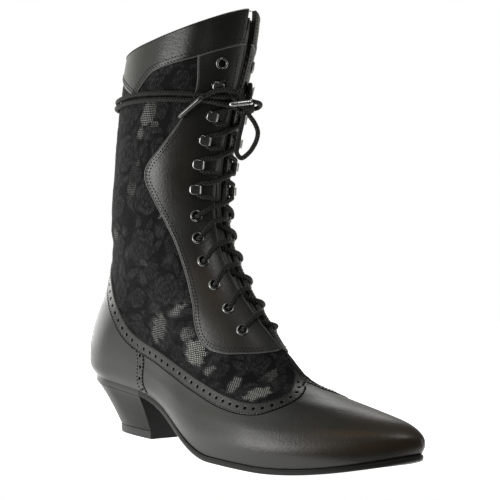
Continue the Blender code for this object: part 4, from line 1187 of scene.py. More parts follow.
def without_holes(points, faces, centres):
    """Faces that leave the eyelets' holes open."""
    flat = points.reshape(-1, 3)
    for centre in centres:
        faces = faces[np.linalg.norm(flat[faces].mean(1) - centre, axis=1) > FACING_HOLE]
    return faces


def panel_part(angle, level, height, flip=False, holes=()):
    """A panel's surface with a skirt down into the wall all round; holes are the centres of eyelets."""
    angle, level = (np.pad(grid, 1, mode="edge") for grid in (angle, level))
    height = np.pad(height + folds(angle, level)[1:-1, 1:-1], 1, constant_values=-SKIRT_DEPTH)
    points = above(angle, np.clip(level, 0, COLLAR), height)
    return points, without_holes(points, grid_faces(*angle.shape, flip=flip), holes)


def padded_values(grid):
    return np.pad(grid, 1, mode="edge").reshape(-1)


def spots(angle, level, places):
    """Soft round spots: places are angle, level, half width and half height in mm, and strength."""
    total = np.zeros(np.broadcast(angle, level).shape)
    for at, at_level, half_wide, half_high, strength in places:
        across, up = (angle - at) * ANGLE_MM / half_wide, (level - at_level) * LEVEL_MM / half_high
        total = np.maximum(total, strength * np.exp(-(across**2) - up**2))
    return total


# Painted brown reflection on the facings: angle, level, half width and half height in mm, and strength
FACING_BROWN_SHEEN = ((-0.78, 8.6, 9.0, 18.0, 0.5), (-0.72, 7.6, 12.0, 10.0, 0.45), (-0.70, 11.9, 12.0, 14.0, 0.1))
FACING_COLUMNS, FACING_SPACING, FACING_SPARE = 44, 1.0, 1.06
facing_table = np.array(FACING_EDGE)
facing_scale = (ANGLE_MM, LEVEL_MM, LEVEL_MM)
facing_fine = smooth_route(facing_table * facing_scale, FINE_SPACING) / facing_scale
facing_rows = respaced(facing_fine, last_point(facing_fine[:, 0], facing_fine[:, 1]), FACING_SPACING)[0]
facing_front = np.column_stack([-throat_edge(facing_rows[:, 2]), facing_rows[:, 2]])


def facing_grid():
    """Angles, levels and heights of the outer facing, from its rear edge to the throat."""
    rear, front = facing_rows[:, :2], facing_front
    width = np.linalg.norm(last_point(*rear.T) - last_point(*front.T), axis=1) * FACING_SPARE
    across = stations(width, FACING_COLUMNS)
    share = across / width[:, None]
    angle = rear[:, :1] + (front[:, :1] - rear[:, :1]) * share
    level = rear[:, 1:] + (front[:, 1:] - rear[:, 1:]) * share
    return angle, level, FACING_RISE - rounded(np.minimum(across, width[:, None] - across))


def build_facings():
    angle, level, height = facing_grid()
    brown_sheen = padded_values(spots(angle, level, FACING_BROWN_SHEEN))
    for side, side_name in SIDE_NAMES.items():
        part = panel_part(-side * angle, level, height, flip=side == 1, holes=EYELET_PLACES[side])
        piece(f"facing_{side_name}", [part], LEATHER, {"brown_sheen": brown_sheen})


COLLAR_COLUMNS, COLLAR_ROWS = 300, 14
# Close columns by the band's ends; the band's lower edge is read a little short of the throat
COLLAR_ENDS = np.array([0.0, 0.0006, 0.0016, 0.003, 0.005])
COLLAR_SHORT, COLLAR_LEVEL_MM, COLLAR_END_MM = 0.965, 2.1 * LEVEL_MM, 200.0
collar_line = surface_route(COLLAR_EDGE)


def collar_low(angle):
    return np.interp(-np.abs(angle), collar_line[:, 0], collar_line[:, 1])


def build_collar():
    """The band round the top, deepest at a point on each side of the back."""
    share = np.linspace(-1, 1, COLLAR_COLUMNS + 1)
    share = np.concatenate([COLLAR_ENDS - 1, share[2:-2], 1 - COLLAR_ENDS[::-1]])
    low = collar_low(share * COLLAR_SHORT)
    tall = (COLLAR - low) * COLLAR_LEVEL_MM
    up = stations(tall, COLLAR_ROWS)
    level = low[:, None] + (COLLAR - low)[:, None] * up / tall[:, None]
    angle = share[:, None] * throat_edge(level)
    side_edge = (1 - np.abs(share))[:, None] * COLLAR_END_MM
    height = COLLAR_RISE - rounded(np.minimum(np.minimum(up, tall[:, None] - up), side_edge))
    piece("collar_band", [panel_part(angle.T, level.T, height.T)], LEATHER)


EDGE_SPACING = 0.4
topline, topline_run = surface_path(TOPLINE, EDGE_SPACING)


def to_inner(path):
    """A path on the outer side carried to the inner one, with the strip's peak in one place for both."""
    path = np.array(path, float)
    share = np.clip((np.abs(path[..., 0]) - NOSE_FROM) / (-NOSE_AT - NOSE_FROM), 0, 1)
    path[..., 0] = -path[..., 0] + 2 * (1 + NOSE_AT) * share**2 * (3 - 2 * share)
    return path


whole_topline = np.vstack([topline[::-1], to_inner(topline)[1:]])


def topline_level(angle):
    angle = np.asarray(angle, float)
    return np.interp(np.where(angle < NOSE_AT, angle + 2, angle), *whole_topline.T)


# The strip's lower edge turns to its end under the peak after a short start on the way that it had
NOSE_START, NOSE_SPACING = 30, 0.2


def strip_edges():
    """Upper and lower edge of the perforated strip on the outer side, point by point."""
    low = beside(topline, -STRIP_WIDTH)
    start = int(np.searchsorted(topline_run, topline_run[-1] - NOSE_RUN))
    lead_in = low[start - NOSE_START:start:NOSE_START - 1]
    close = surface_path(np.vstack([lead_in, NOSE_LOW]), NOSE_SPACING)[0]
    close = close[np.argmin(np.abs(close[:, 1] - low[start, 1])):]
    at = np.linspace(0, len(close) - 1, len(topline) - start)
    low[start:] = read_at(at, np.arange(len(close)), close)
    return topline, low


seam_path, _ = surface_path(COUNTER_SEAM, EDGE_SPACING)


def seam_angle(level):
    return -np.interp(level, seam_path[::-1, 1], seam_path[::-1, 0])


# Vamp and counter: columns, rows, the length that the columns are spread on and the level it is taken at
VAMP_COLUMNS, COUNTER_COLUMNS, PANEL_ROWS = 330, 130, 56
PANEL_LENGTH, PANEL_LEVEL, PANEL_SAMPLES = 380.0, 1.5, 1500
FEATHER_ROWS, FEATHER_DROP = (0.0, 0.004, 0.012), 0.25
STRIP_COVER = 0.12
# Painted brown reflection on the vamp and toe: angle, level, half width and half height in mm, and strength
VAMP_BROWN_SHEEN = (
    (-0.80, 2.25, 9.0, 5.5, 1.0), (-0.90, 2.3, 14.0, 26.0, 0.55), (-0.82, 1.4, 16.0, 10.0, 0.5),
    (-0.95, 4.0, 10.0, 16.0, 0.5), (0.90, 2.3, 14.0, 26.0, 0.5))


def build_lower_panel(name, front, columns):
    """Vamp over the toe or counter round the heel, from the feather line to the perforated strip."""

    def reach(level):
        return 1 - seam_angle(level) if front else seam_angle(level)

    half = float(reach(PANEL_LEVEL))
    fine = front + np.linspace(-half, half, PANEL_SAMPLES)
    turn = respaced(-fine[:, None], last_point(wrapped(-fine), PANEL_LEVEL), PANEL_LENGTH / columns)[0][:, 0]
    part_way = (-turn - front) / half
    top = topline_level(wrapped(-(front + part_way * reach(COLLAR)))) - STRIP_COVER
    share = np.concatenate([FEATHER_ROWS[:2], np.linspace(FEATHER_ROWS[2], 1, PANEL_ROWS)])
    level = share[:, None] * top
    angle = -(front + part_way * reach(level))
    height = np.full(level.shape, VAMP_RISE)
    height[0] -= FEATHER_DROP
    values = {"brown_sheen": padded_values(spots(wrapped(angle), level, VAMP_BROWN_SHEEN))}
    piece(f"{name}_leather", [panel_part(angle, level, height, flip=True)], LEATHER, values)


STRIP_ROWS, STRIP_SHARP = 22, 1.4
# Punched holes: soft rim, the strip's plain end, sides, and the size and height of their floors
HOLE_SOFT, HOLE_END, HOLE_SIDES, HOLE_FLOOR_SHARE, HOLE_FLOOR_RISE = 0.22, 2.5, 12, 0.95, 0.10
SEAM_STRIP_DROP = 0.06


def strip_part(top, low, rise, pitch, flip):
    """A narrow leather strip between two edges, with a row of punched holes down its middle."""
    across = np.linspace(0, 1, STRIP_ROWS)[:, None]
    grid = top + (low - top) * across[..., None]
    middle = 0.5 * (top + low)
    top_line, low_line, line = (last_point(wrapped(path[:, 0]), path[:, 1]) for path in (top, low, middle))
    run = distances(line)
    width = np.linalg.norm(low_line - top_line, axis=1)
    height = rise - rounded(np.minimum(across, 1 - across) * width * STRIP_SHARP)
    nearest = (np.round(run / pitch - 0.5) + 0.5) * pitch
    away = np.hypot((run - nearest)[None, :], (across - 0.5) * width)
    end = run[-1] - HOLE_END
    # painted shade as well as a dent: the leather reads this as its hole value and goes near black there
    hole = np.clip((HOLE_RADIUS + HOLE_SOFT - away) / (2 * HOLE_SOFT), 0, 1) * (run < end)
    part = panel_part(grid[..., 0], grid[..., 1], height - HOLE_DEPTH * hole, flip=flip)
    return part, padded_values(hole), read_at(np.arange(0.5 * pitch, end, pitch), run, middle)


def hole_floors(places, height):
    """Round matt black floors of the punched holes: painted shade."""
    angle, level = places.T
    centre = raised_line(places, height, 1)
    out = last_normal(wrapped(angle), level)
    aside = np.cross(out, (0.0, 0.0, 1.0))
    aside /= np.linalg.norm(aside, axis=1, keepdims=True)
    swing = full_turn(HOLE_SIDES)[:, None]
    ring = np.cos(swing) * aside[:, None] + np.sin(swing) * np.cross(out, aside)[:, None]
    rim = centre[:, None] + HOLE_FLOOR_SHARE * HOLE_RADIUS * ring
    points = np.concatenate([centre[:, None], rim], 1)
    corner = np.arange(HOLE_SIDES)
    fan = np.stack([np.zeros(HOLE_SIDES, int), 1 + corner, 1 + (corner + 1) % HOLE_SIDES], 1)
    first = np.arange(len(places)) * (HOLE_SIDES + 1)
    return points.reshape(-1, 3), (first[:, None, None] + fan).reshape(-1, 3)


seam_half = np.linspace(*COUNTER_SEAM_HALF, len(seam_path))
seam_pair = beside(seam_path, seam_half), beside(seam_path, -seam_half)
strip_pair = strip_edges()


def build_strips():
    """The perforated strips round the vamp and counter and over their seam, on both sides."""
    parts, hole, floors = [], [], []
    for side in SIDE_NAMES:
        for edges, rise, pitch in ((strip_pair, STRIP_RISE, HOLE_PITCH),
                                   (seam_pair, STRIP_RISE - SEAM_STRIP_DROP, SEAM_HOLE_PITCH)):
            top, low = edges if side == -1 else map(to_inner, edges)
            part, dark, places = strip_part(top, low, rise, pitch, flip=side == -1)
            parts.append(part)
            hole.append(dark)
            floors.append(hole_floors(places, rise - HOLE_DEPTH + HOLE_FLOOR_RISE))
    # painted shade: black discs at the floors of the punched holes
    piece("hole_shade_discs", floors, PAINTED_SHADE)
    piece("perforated_strips", parts, LEATHER, {"hole": np.concatenate(hole)})


FABRIC_COLUMNS, FABRIC_ROWS = 330, 240
# The floral lace: flowers and leaves as centre across and up in mm, size and turn, in a repeat of this size
FLOWER_REPEAT = (52.0, 62.0)
FLOWERS = (
    (12.0, 14.0, 12.5, 0.2), (38.0, 44.0, 13.5, 1.1), (40.0, 9.0, 8.0, 0.6), (10.0, 46.0, 7.5, 1.7),
    (26.0, 28.0, 7.0, 0.9))
LEAVES = (
    (25.0, 10.0, 10.0, 0.7), (24.0, 44.0, 9.0, 2.3), (4.0, 30.0, 9.0, 1.3), (46.0, 26.0, 10.0, 2.7),
    (16.0, 58.0, 9.0, 0.2), (33.0, 57.0, 8.0, 1.9))
# Rings of petals in a flower: how many, and their share of its size
PETAL_RINGS = ((5, 1.0), (5, 0.58), (3, 0.28))
# Petals: depth of their lobes, soft edge and outline in mm, hatch lines and how far these reach
PETAL_LOBE, PETAL_SOFT, PETAL_LINE, PETAL_HATCH, HATCH_REACH = 0.20, 0.8, 0.75, 2.2, 1.05
# Leaves: half width in lengths, soft edge and rib in mm, the rib's strength, hatch lines and their lean
LEAF_HALF, LEAF_SOFT, LEAF_RIB, LEAF_RIB_SHARE, LEAF_HATCH, LEAF_HATCH_LEAN = 0.34, 0.7, 0.5, 0.8, 1.4, 0.8
CLOTH_SHIFT, ANKLE_LEVEL = (150.0, 130.0), 11.0
# Open net: angle, level, half width and half height in mm, lean in degrees, and how open it is
NET_WINDOWS = (
    (-0.515, 13.36, 5.4, 8.5, 15.0, 0.62), (-0.478, 12.90, 2.6, 3.6, 20.0, 0.50),
    (-0.560, 13.06, 3.2, 2.0, 0.0, 0.50), (-0.460, 11.85, 4.0, 13.0, 5.0, 0.28),
    (-0.615, 10.79, 1.0, 1.0, 0.0, 0.9), (-0.480, 9.38, 4.0, 2.0, 25.0, 0.40),
    (-0.562, 7.88, 7.5, 3.0, -35.0, 0.70), (-0.620, 8.28, 3.0, 3.6, 0.0, 0.25),
    (-0.482, 6.95, 7.0, 9.5, 20.0, 0.70), (-0.577, 7.05, 5.5, 5.0, -40.0, 0.55),
    (-0.577, 6.15, 7.6, 9.6, -25.0, 1.0), (-0.580, 5.30, 5.0, 3.0, -30.0, 0.85),
    (-0.626, 4.80, 3.6, 8.0, 15.0, 0.75), (-0.668, 4.55, 9.0, 6.0, -10.0, 1.0),
    (-0.800, 6.05, 9.0, 4.5, -30.0, 0.34), (-0.20, 12.70, 6.0, 9.0, -15.0, 0.5),
    (-0.30, 10.2, 7.0, 5.0, 20.0, 0.35), (-0.12, 11.2, 5.0, 8.0, 10.0, 0.45))
WINDOW_SHARP, WINDOW_REACH = 4.4, 1.22
# Scallops round the windows, across and up the cloth: pace, sway and the sway's own pace
SCALLOPS = ((0.85, 1.3, 0.6), (0.95, 1.6, 0.7))
# The lace panel: how far it goes under its neighbours, and its relief
FABRIC_TUCK, FABRIC_THROAT_TUCK, FABRIC_FOOT = 0.10, 0.012, 0.3
PETAL_RISE, OUTLINE_RISE, WINDOW_COVER, WINDOW_OUTLINE = 0.16, 0.14, 1.15, 0.25


def cloth_chart(angle, level):
    """Distances in mm over the cloth: across from the back seam, and up from a level line at the ankle."""
    points = last_point(angle, level)
    across = np.pad(np.cumsum(np.linalg.norm(np.diff(points, axis=1), axis=2), 1), ((0, 0), (1, 0)))
    up = np.pad(np.cumsum(np.linalg.norm(np.diff(points, axis=0), axis=2), 0), ((1, 0), (0, 0)))
    across = across - across[:, angle.shape[1] // 2, None]
    ankle = np.array([np.interp(ANKLE_LEVEL, column, run) for column, run in zip(level.T, up.T)])
    return across, up - ankle


def window_chart(angle, level, u, v):
    """How open the net is, from 0 to 1, with scalloped edges; the inner side mirrors the outer."""
    wave = np.zeros(u.shape)
    for (pace, sway, sway_pace), run, other in zip(SCALLOPS, (u, v), (v, u)):
        wave = wave + np.sin(pace * run + sway * np.sin(sway_pace * other))
    total = np.zeros(u.shape)
    for at, at_level, half_wide, half_high, lean, strength in NET_WINDOWS:
        for side in (-1, 1):
            near = ((angle + side * at) * ANGLE_MM) ** 2 + ((level - at_level) * LEVEL_MM) ** 2
            place = np.unravel_index(np.argmin(near), near.shape)
            along, aside = leaned(-side * (u - u[place]), v - v[place], math.radians(lean))
            far = (along / half_wide) ** 2 + (aside / half_high) ** 2
            total = np.maximum(total, strength * np.clip(WINDOW_SHARP * (WINDOW_REACH - far) + wave, 0, 1))
    return total


def soft_line(distance, half):
    """1 on a line, and less down to 0 at half its width."""
    return np.clip(1 - np.abs(distance) / half, 0, 1)


def repeated(table):
    """The rows of a table with those of the repeats at both sides."""
    for across, up, size, turn in table:
        for shift in (-FLOWER_REPEAT[0], 0, FLOWER_REPEAT[0]):
            yield across + shift, up, size, turn


def floral_chart(u, v):
    """Petals and outlines of the lace from 0 to 1, and the count of hatch lines, across and up the cloth."""
    row = np.floor(v / FLOWER_REPEAT[1])
    u = np.mod(u + 0.5 * FLOWER_REPEAT[0] * np.mod(row, 2), FLOWER_REPEAT[0])
    v = np.mod(v, FLOWER_REPEAT[1])
    petal, outline, ray = np.zeros(u.shape), np.zeros(u.shape), np.zeros(u.shape)
    for at_u, at_v, size, turn in repeated(FLOWERS):
        swing = np.arctan2(v - at_v, u - at_u) + turn
        far = np.hypot(u - at_u, v - at_v)
        ray = np.where(far < HATCH_REACH * size, swing * (PETAL_HATCH * size / math.pi), ray)
        for count, share in PETAL_RINGS:
            wave = np.abs(np.cos(0.5 * count * swing + share))
            lobe = size * share * (1 - PETAL_LOBE + PETAL_LOBE * wave)
            outline = np.maximum(outline, soft_line(far - lobe, PETAL_LINE))
            petal = np.maximum(petal, np.clip((lobe - far) / PETAL_SOFT, 0, 1))
    for at_u, at_v, size, turn in repeated(LEAVES):
        along, aside = leaned(u - at_u, v - at_v, turn)
        aside = np.abs(aside)
        half = LEAF_HALF * size * np.clip(1 - (along / size) ** 2, 0, 1)
        inside = np.abs(along) < size
        ray = np.where(inside & (aside < half), (along + LEAF_HATCH_LEAN * aside) / LEAF_HATCH, ray)
        edge = np.maximum(soft_line(aside - half, LEAF_SOFT), LEAF_RIB_SHARE * soft_line(aside, LEAF_RIB))
        outline = np.maximum(outline, inside * edge)
        petal = np.maximum(petal, inside * np.clip((half - aside) / LEAF_SOFT, 0, 1))
    return petal, outline, ray


def build_lace_panel():
    """The quarters of floral lace, which lie under all the leather panels."""
    share = np.linspace(-1, 1, FABRIC_COLUMNS + 1)
    low = topline_level(share) - FABRIC_TUCK
    high = collar_low(share * COLLAR_SHORT) + FABRIC_TUCK
    level = low + (high - low) * np.linspace(0, 1, FABRIC_ROWS + 1)[:, None]
    angle = share * np.where(level > THROAT_FOOT - FABRIC_FOOT, throat_edge(level) - FABRIC_THROAT_TUCK, 1.0)
    u, v = cloth_chart(angle, level)
    petal, outline, ray = floral_chart(u + CLOTH_SHIFT[0], v + CLOTH_SHIFT[1])
    window = window_chart(angle, level, u, v)
    cover = np.clip(WINDOW_COVER * (1 - window), 0, 1)
    petal = petal * cover
    outline = outline * (WINDOW_OUTLINE + (1 - WINDOW_OUTLINE) * cover)
    part = panel_part(angle, level, PETAL_RISE * petal + OUTLINE_RISE * outline, holes=ALL_EYELETS)
    charts = {"petal": petal, "outline": outline, "window": window, "ray": ray}
    values = {key: padded_values(chart) for key, chart in charts.items()}
    values["cloth"] = np.stack([padded_values(chart) for chart in (u, v, np.zeros(u.shape))], -1)
    piece("floral_lace_quarters", [part], LACE_PANEL, values, ("upper",))


LINING_ROWS, LINING_COLUMNS = (50, 70), 140
LINING_RIM, LINING_FOOT_RIM = -0.15, 0.05 - WALL


def build_lining():
    """The inside of the boot, turned over the edges of the throat and the collar."""
    foot = np.linspace(0, THROAT_FOOT, LINING_ROWS[0])
    levels = np.concatenate([foot, np.linspace(THROAT_FOOT, COLLAR, LINING_ROWS[1])[1:]])[:, None]
    angle = np.linspace(-1, 1, LINING_COLUMNS + 1) * throat_edge(levels)
    level = np.broadcast_to(levels, angle.shape)
    depth = folds(angle, level) - WALL
    angle, level, depth = (np.pad(grid, ((0, 1), (1, 1)), mode="edge") for grid in (angle, level, depth))
    depth[:, [0, -1]] = np.where(level[:, :1] > THROAT_FOOT, LINING_RIM, LINING_FOOT_RIM)
    depth[-1] = LINING_RIM
    points = above(angle, level, depth)
    faces = without_holes(points, grid_faces(*angle.shape, flip=True), ALL_EYELETS)
    piece("boot_lining", [(points, faces)], LINING)


TONGUE_ROWS, TONGUE_COLUMNS, TONGUE_CROWD = 150, 60, 1.5
TONGUE_CORD_AT, TONGUE_CORD_WIDE, TONGUE_CORD_RISE = 1.9, 0.7, 0.9
NEARLY_NOTHING = 1e-3


def build_tongue():
    """The leaf behind the throat, with two raised cords down its middle."""
    levels = np.linspace(TONGUE[0, 0], TONGUE[-1, 0], TONGUE_ROWS)[:, None]
    across = np.linspace(-1, 1, TONGUE_COLUMNS + 1)
    across = np.sign(across) * np.abs(across) ** TONGUE_CROWD
    y = across * np.interp(levels, *TONGUE.T)
    level = np.broadcast_to(levels, y.shape)
    angle = -np.sign(across) * front_angle(level, np.maximum(np.abs(y), NEARLY_NOTHING))
    angle = np.where(np.abs(across) < NEARLY_NOTHING, 1.0, angle)
    cords = (np.exp(-(((y - at) / TONGUE_CORD_WIDE) ** 2)) for at in (-TONGUE_CORD_AT, TONGUE_CORD_AT))
    depth = WALL + 2 * GAP
    front = above(angle, level, TONGUE_CORD_RISE * sum(cords) - depth)
    rear = above(angle, level, np.full(angle.shape, -depth - TONGUE_THICKNESS))
    rings = np.concatenate([front, rear[:, ::-1]], 1)
    piece("tongue_leaf", [(rings, capped(rings))], TONGUE_LEATHER, None, ("tongue",))


build_lace_panel()
build_facings()
build_collar()
build_lower_panel("vamp", 1, VAMP_COLUMNS)
build_lower_panel("counter", 0, COUNTER_COLUMNS)
build_strips()
build_lining()
build_tongue()


# Seams


def under_strip(path):
    """The part of a seam's path that lies below the perforated strip."""
    low = strip_pair[1]
    return path[path[:, 1] < np.interp(-path[:, 0], -low[:, 0], low[:, 1])]


# Stitch rows: distances from the edges of facing, throat and collar, and shares of the strips' widths
FACING_ROWS_AT, THROAT_ROW_AT, COLLAR_FRONT_AT, COLLAR_ROWS_AT = (1.5, 3.3), 2.0, 2.2, (1.3, 3.1)
STRIP_ROWS_AT, SEAM_ROWS_AT = (0.10, 0.91), (0.13, 0.87)
THROAT_ROW_LEVELS, THROAT_BEAD_LEVELS = np.linspace(7.5, 14.2, 160), np.linspace(7.35, 14.3, 160)
COLLAR_FRONT_LEVELS, COLLAR_TOP_DROP = np.linspace(14.42, 14.92, 40), 0.075
COLLAR_ROW_ANGLES, COLLAR_BEAD_ANGLES = np.linspace(0.0, -0.955, 240), np.linspace(-0.96, 0.0, 240)
STRIP_ROW_PART = slice(6, -3, 2)
SEAM_SPACING = 0.8
STITCH_SINK = 0.03
# Tacks close the counter seam's ends; beads are the turned edges, and the painted shadow lines are black
# beads under the strips
TACK_HALF, TACK_RADIUS, TACK_SINK, TACK_STOPS, TACK_SPACING = np.array((0.008, -0.02)), 0.32, 0.05, 7, 0.5
FACING_BEAD, THROAT_BEAD, COLLAR_BEAD = (0.25, 0.46), (0.35, 0.45), (0.4, 0.40)
SHADOW_LINE_RISE, SHADOW_LINE_RADIUS, SHADOW_LINE_FOOT = 0.02, 0.3, 0.2


def throat_row(levels, inset):
    """A path beside the throat's edge on the outer side."""
    return np.column_stack([-front_angle(levels, throat_half(levels) + inset), levels])


def strip_row(edges, share):
    """A path along a strip at a share of its width."""
    top, low = edges
    return (top + (low - top) * share)[STRIP_ROW_PART]


def build_stitching():
    """Rows of stitches beside the panel edges, on both sides of the boot."""
    facing_seam = surface_path(facing_table[1:-1, :2], SEAM_SPACING)[0]
    turn = COLLAR_ROW_ANGLES
    collar_top = np.column_stack([turn, np.full(turn.shape, COLLAR - COLLAR_TOP_DROP)])
    collar_path = np.column_stack([turn, collar_low(turn)])
    mirrored = [(beside(facing_seam, inset), FACING_RISE) for inset in FACING_ROWS_AT]
    mirrored.append((throat_row(THROAT_ROW_LEVELS, THROAT_ROW_AT), FACING_RISE))
    mirrored.append((throat_row(COLLAR_FRONT_LEVELS, COLLAR_FRONT_AT), COLLAR_RISE))
    mirrored.append((collar_top, COLLAR_RISE))
    mirrored += [(beside(collar_path, inset), COLLAR_RISE) for inset in COLLAR_ROWS_AT]
    carried = [strip_row(strip_pair, share) for share in STRIP_ROWS_AT]
    carried += [under_strip(strip_row(seam_pair, share)) for share in SEAM_ROWS_AT]
    steps = np.linspace(-1, 1, TACK_STOPS)[:, None]
    tacks = [under_strip(edge)[0] + steps * TACK_HALF for edge in seam_pair]
    parts = []
    for side in SIDE_NAMES:
        parts += [stitch_row(row, rise, -side) for row, rise in mirrored]
        for row in carried:
            parts.append(stitch_row(row if side == -1 else to_inner(row), STRIP_RISE - STITCH_SINK))
        for tack in tacks:
            tack = tack if side == -1 else to_inner(tack)
            parts.append(bead(tack, STRIP_RISE - TACK_SINK, TACK_RADIUS, spacing=TACK_SPACING))
    piece("seam_stitching", parts, THREAD)


def build_edge_beads():
    """Turned edges in a lighter leather as a painted highlight: the facing's rear edge, the throat and the
    collar band.
    """
    facing_edge = surface_path(facing_table[:, :2], SEAM_SPACING)[0]
    throat_line = np.column_stack([-throat_edge(THROAT_BEAD_LEVELS), THROAT_BEAD_LEVELS])
    collar_path = np.column_stack([COLLAR_BEAD_ANGLES, collar_low(COLLAR_BEAD_ANGLES)])
    parts = []
    for side in SIDE_NAMES:
        for path, rise, (sink, radius) in ((facing_edge, FACING_RISE, FACING_BEAD),
                                           (throat_line, FACING_RISE, THROAT_BEAD),
                                           (collar_path, COLLAR_RISE, COLLAR_BEAD)):
            parts.append(bead(path, rise - sink, radius, -side))
    # painted highlight on the turned edges
    piece("edge_beads", parts, EDGE_HIGHLIGHT)


def build_shadow_lines():
    """Painted shadow: matt black beads along the line under the strips' free edges."""
    parts = []
    seam_edge = under_strip(seam_pair[0])
    for edge in (strip_pair[1], seam_edge[seam_edge[:, 1] > SHADOW_LINE_FOOT]):
        for path in (edge, to_inner(edge)):
            parts.append(bead(path, VAMP_RISE + SHADOW_LINE_RISE, SHADOW_LINE_RADIUS))
    # painted shadow: matt black beads
    piece("strip_shadow_lines", parts, PAINTED_SHADE)


build_stitching()
build_edge_beads()
build_shadow_lines()


# Fastenings


# An eyelet's profile round its hole: radius, and height over the facing
EYELET_PROFILE = np.array((
    (4.0, 0.0), (4.0, 0.3), (3.85, 0.7), (3.5, 1.0), (3.05, 1.1), (2.65, 1.0), (2.35, 0.7), (2.2, 0.2),
    (2.18, -1.2), (2.18, -2.9), (2.5, -3.2), (3.2, -3.15), (3.2, -2.95), (2.75, -2.8), (2.72, -1.0),
    (2.72, -0.05)))
EYELET_SIDES, EYELET_SINK = 40, 0.05
# Speed hooks: metal, reach, throat and half width; how the lip falls short and dips
HOOK_METAL, HOOK_REACH, HOOK_THROAT, HOOK_HALF = 0.8, 4.1, 2.9, 3.1
HOOK_LIP_SHORT, HOOK_LIP_DROP, HOOK_LIP_POWER = 0.3, 0.9, 4
HOOK_FOOT_STEPS, HOOK_BEND_STEPS, HOOK_LIP_STEPS = 8, 13, 12
# The narrow ends and the neck in the middle of the bend: least share, pinch and length
HOOK_END, HOOK_PINCH, HOOK_PINCH_LENGTH = 0.22, 0.22, 2.6
# A quarter of the metal's section, in halves of its width and thickness
HOOK_CORNERS = ((1.0, 0.4), (0.96, 0.8), (0.88, 0.97), (0.78, 1.0), (0.0, 1.0))


def fastened(kind):
    """Node name and seat of each fastening of a kind, on both sides."""
    for side, side_name in SIDE_NAMES.items():
        for number, row in enumerate(FASTENINGS, start=1):
            if row[0] == kind:
                yield f"{kind}_{side_name}_{number:02d}", seat(row, side)


def build_eyelets():
    """Metal rings through the facing, wall and lining."""
    swing = full_turn(EYELET_SIDES)[:, None]
    count = len(EYELET_PROFILE)
    faces = grid_faces(EYELET_SIDES + 1, count, closed=True, flip=True) % (EYELET_SIDES * count)
    for name, (centre, out, up, _) in fastened("eyelet"):
        centre = centre + out * (FACING_RISE - EYELET_SINK)
        ray = np.cos(swing) * up + np.sin(swing) * np.cross(out, up)
        points = centre + ray[:, None] * EYELET_PROFILE[None, :, :1] + out * EYELET_PROFILE[None, :, 1:]
        piece(f"{name}_ring", [(points, faces)], GUNMETAL, None, (name,))


def hook_line():
    """A hook seen from its side: distance away from the throat and height, from its foot to its lip."""
    radius = 0.5 * (HOOK_THROAT + HOOK_METAL)
    bend_at = radius + 0.5 * HOOK_METAL - HOOK_REACH
    base = FACING_RISE + 0.5 * HOOK_METAL
    foot = np.linspace(HOOK_REACH, bend_at, HOOK_FOOT_STEPS, endpoint=False)
    swing = np.linspace(-0.5, -1.5, HOOK_BEND_STEPS) * math.pi
    share = np.linspace(0, 1, HOOK_LIP_STEPS)[1:]
    lip = bend_at + (HOOK_REACH - HOOK_LIP_SHORT - bend_at) * share
    lip_height = base + 2 * radius - HOOK_LIP_DROP * share**HOOK_LIP_POWER
    away = np.concatenate([foot, bend_at + radius * np.cos(swing), lip])
    height = np.concatenate([np.full(len(foot), base), base + radius * (1 + np.sin(swing)), lip_height])
    return np.column_stack([away, height])


def hook_half(run):
    """Half the width of a hook along its run: round at both ends, and pinched at the bend."""
    from_end = np.minimum(run, run[-1] - run)
    round_end = np.sqrt(1 - np.clip(1 - from_end / HOOK_HALF, 0, 1) ** 2)
    bend_middle = run[HOOK_FOOT_STEPS + HOOK_BEND_STEPS // 2]
    pinch = HOOK_PINCH * np.exp(-(((run - bend_middle) / HOOK_PINCH_LENGTH) ** 2))
    return HOOK_HALF * np.maximum(round_end, HOOK_END) * (1 - pinch)


def build_hooks():
    """Speed hooks: a plate on the facing, bent up and back over itself, with rounded ends."""
    line = hook_line()
    ahead = np.gradient(line, axis=0)
    ahead /= np.linalg.norm(ahead, axis=1, keepdims=True)
    across = np.stack([-ahead[:, 1], ahead[:, 0]], 1)
    lower = [(-x, -y) for x, y in HOOK_CORNERS] + [(x, -y) for x, y in HOOK_CORNERS[-2::-1]]
    corner = np.array(lower + [(x, -y) for x, y in lower[::-1]])
    wide = (hook_half(distances(line))[:, None] * corner[:, 0])[..., None]
    deep = (0.5 * HOOK_METAL * corner[:, 1])[None, :, None]
    for name, (centre, out, up, away) in fastened("hook"):
        middle = centre + line[:, :1] * away + line[:, 1:] * out
        thick = across[:, :1] * away + across[:, 1:] * out
        rings = middle[:, None] + up * wide + thick[:, None] * deep
        piece(f"{name}_bent", [(rings, capped(rings))], HOOK_STEEL, None, (name,))


build_eyelets()
build_hooks()


# Sole, heel and insole


def plan_outline(angles, margin):
    """Plan of the feather line moved outwards by a margin."""
    ahead, behind = (last_point(wrapped(angles + step), 0.0)[:, :2] for step in (ANGLE_STEP, -ANGLE_STEP))
    along = (ahead - behind) / np.linalg.norm(ahead - behind, axis=1, keepdims=True)
    return last_point(angles, 0.0)[:, :2] + margin * np.stack([-along[:, 1], along[:, 0]], 1)


def sole_outline(angles, margin):
    """Plan of the sole: its edge shows most round the toe and ball, and least at the waist and heel."""
    forward = np.clip((last_point(angles, 0.0)[:, 0] - BREAST_X) / (BALL_START_X - BREAST_X), 0, 1)
    return plan_outline(angles, margin * (HEEL_EDGE_SHARE + (1 - HEEL_EDGE_SHARE) * forward)[:, None])


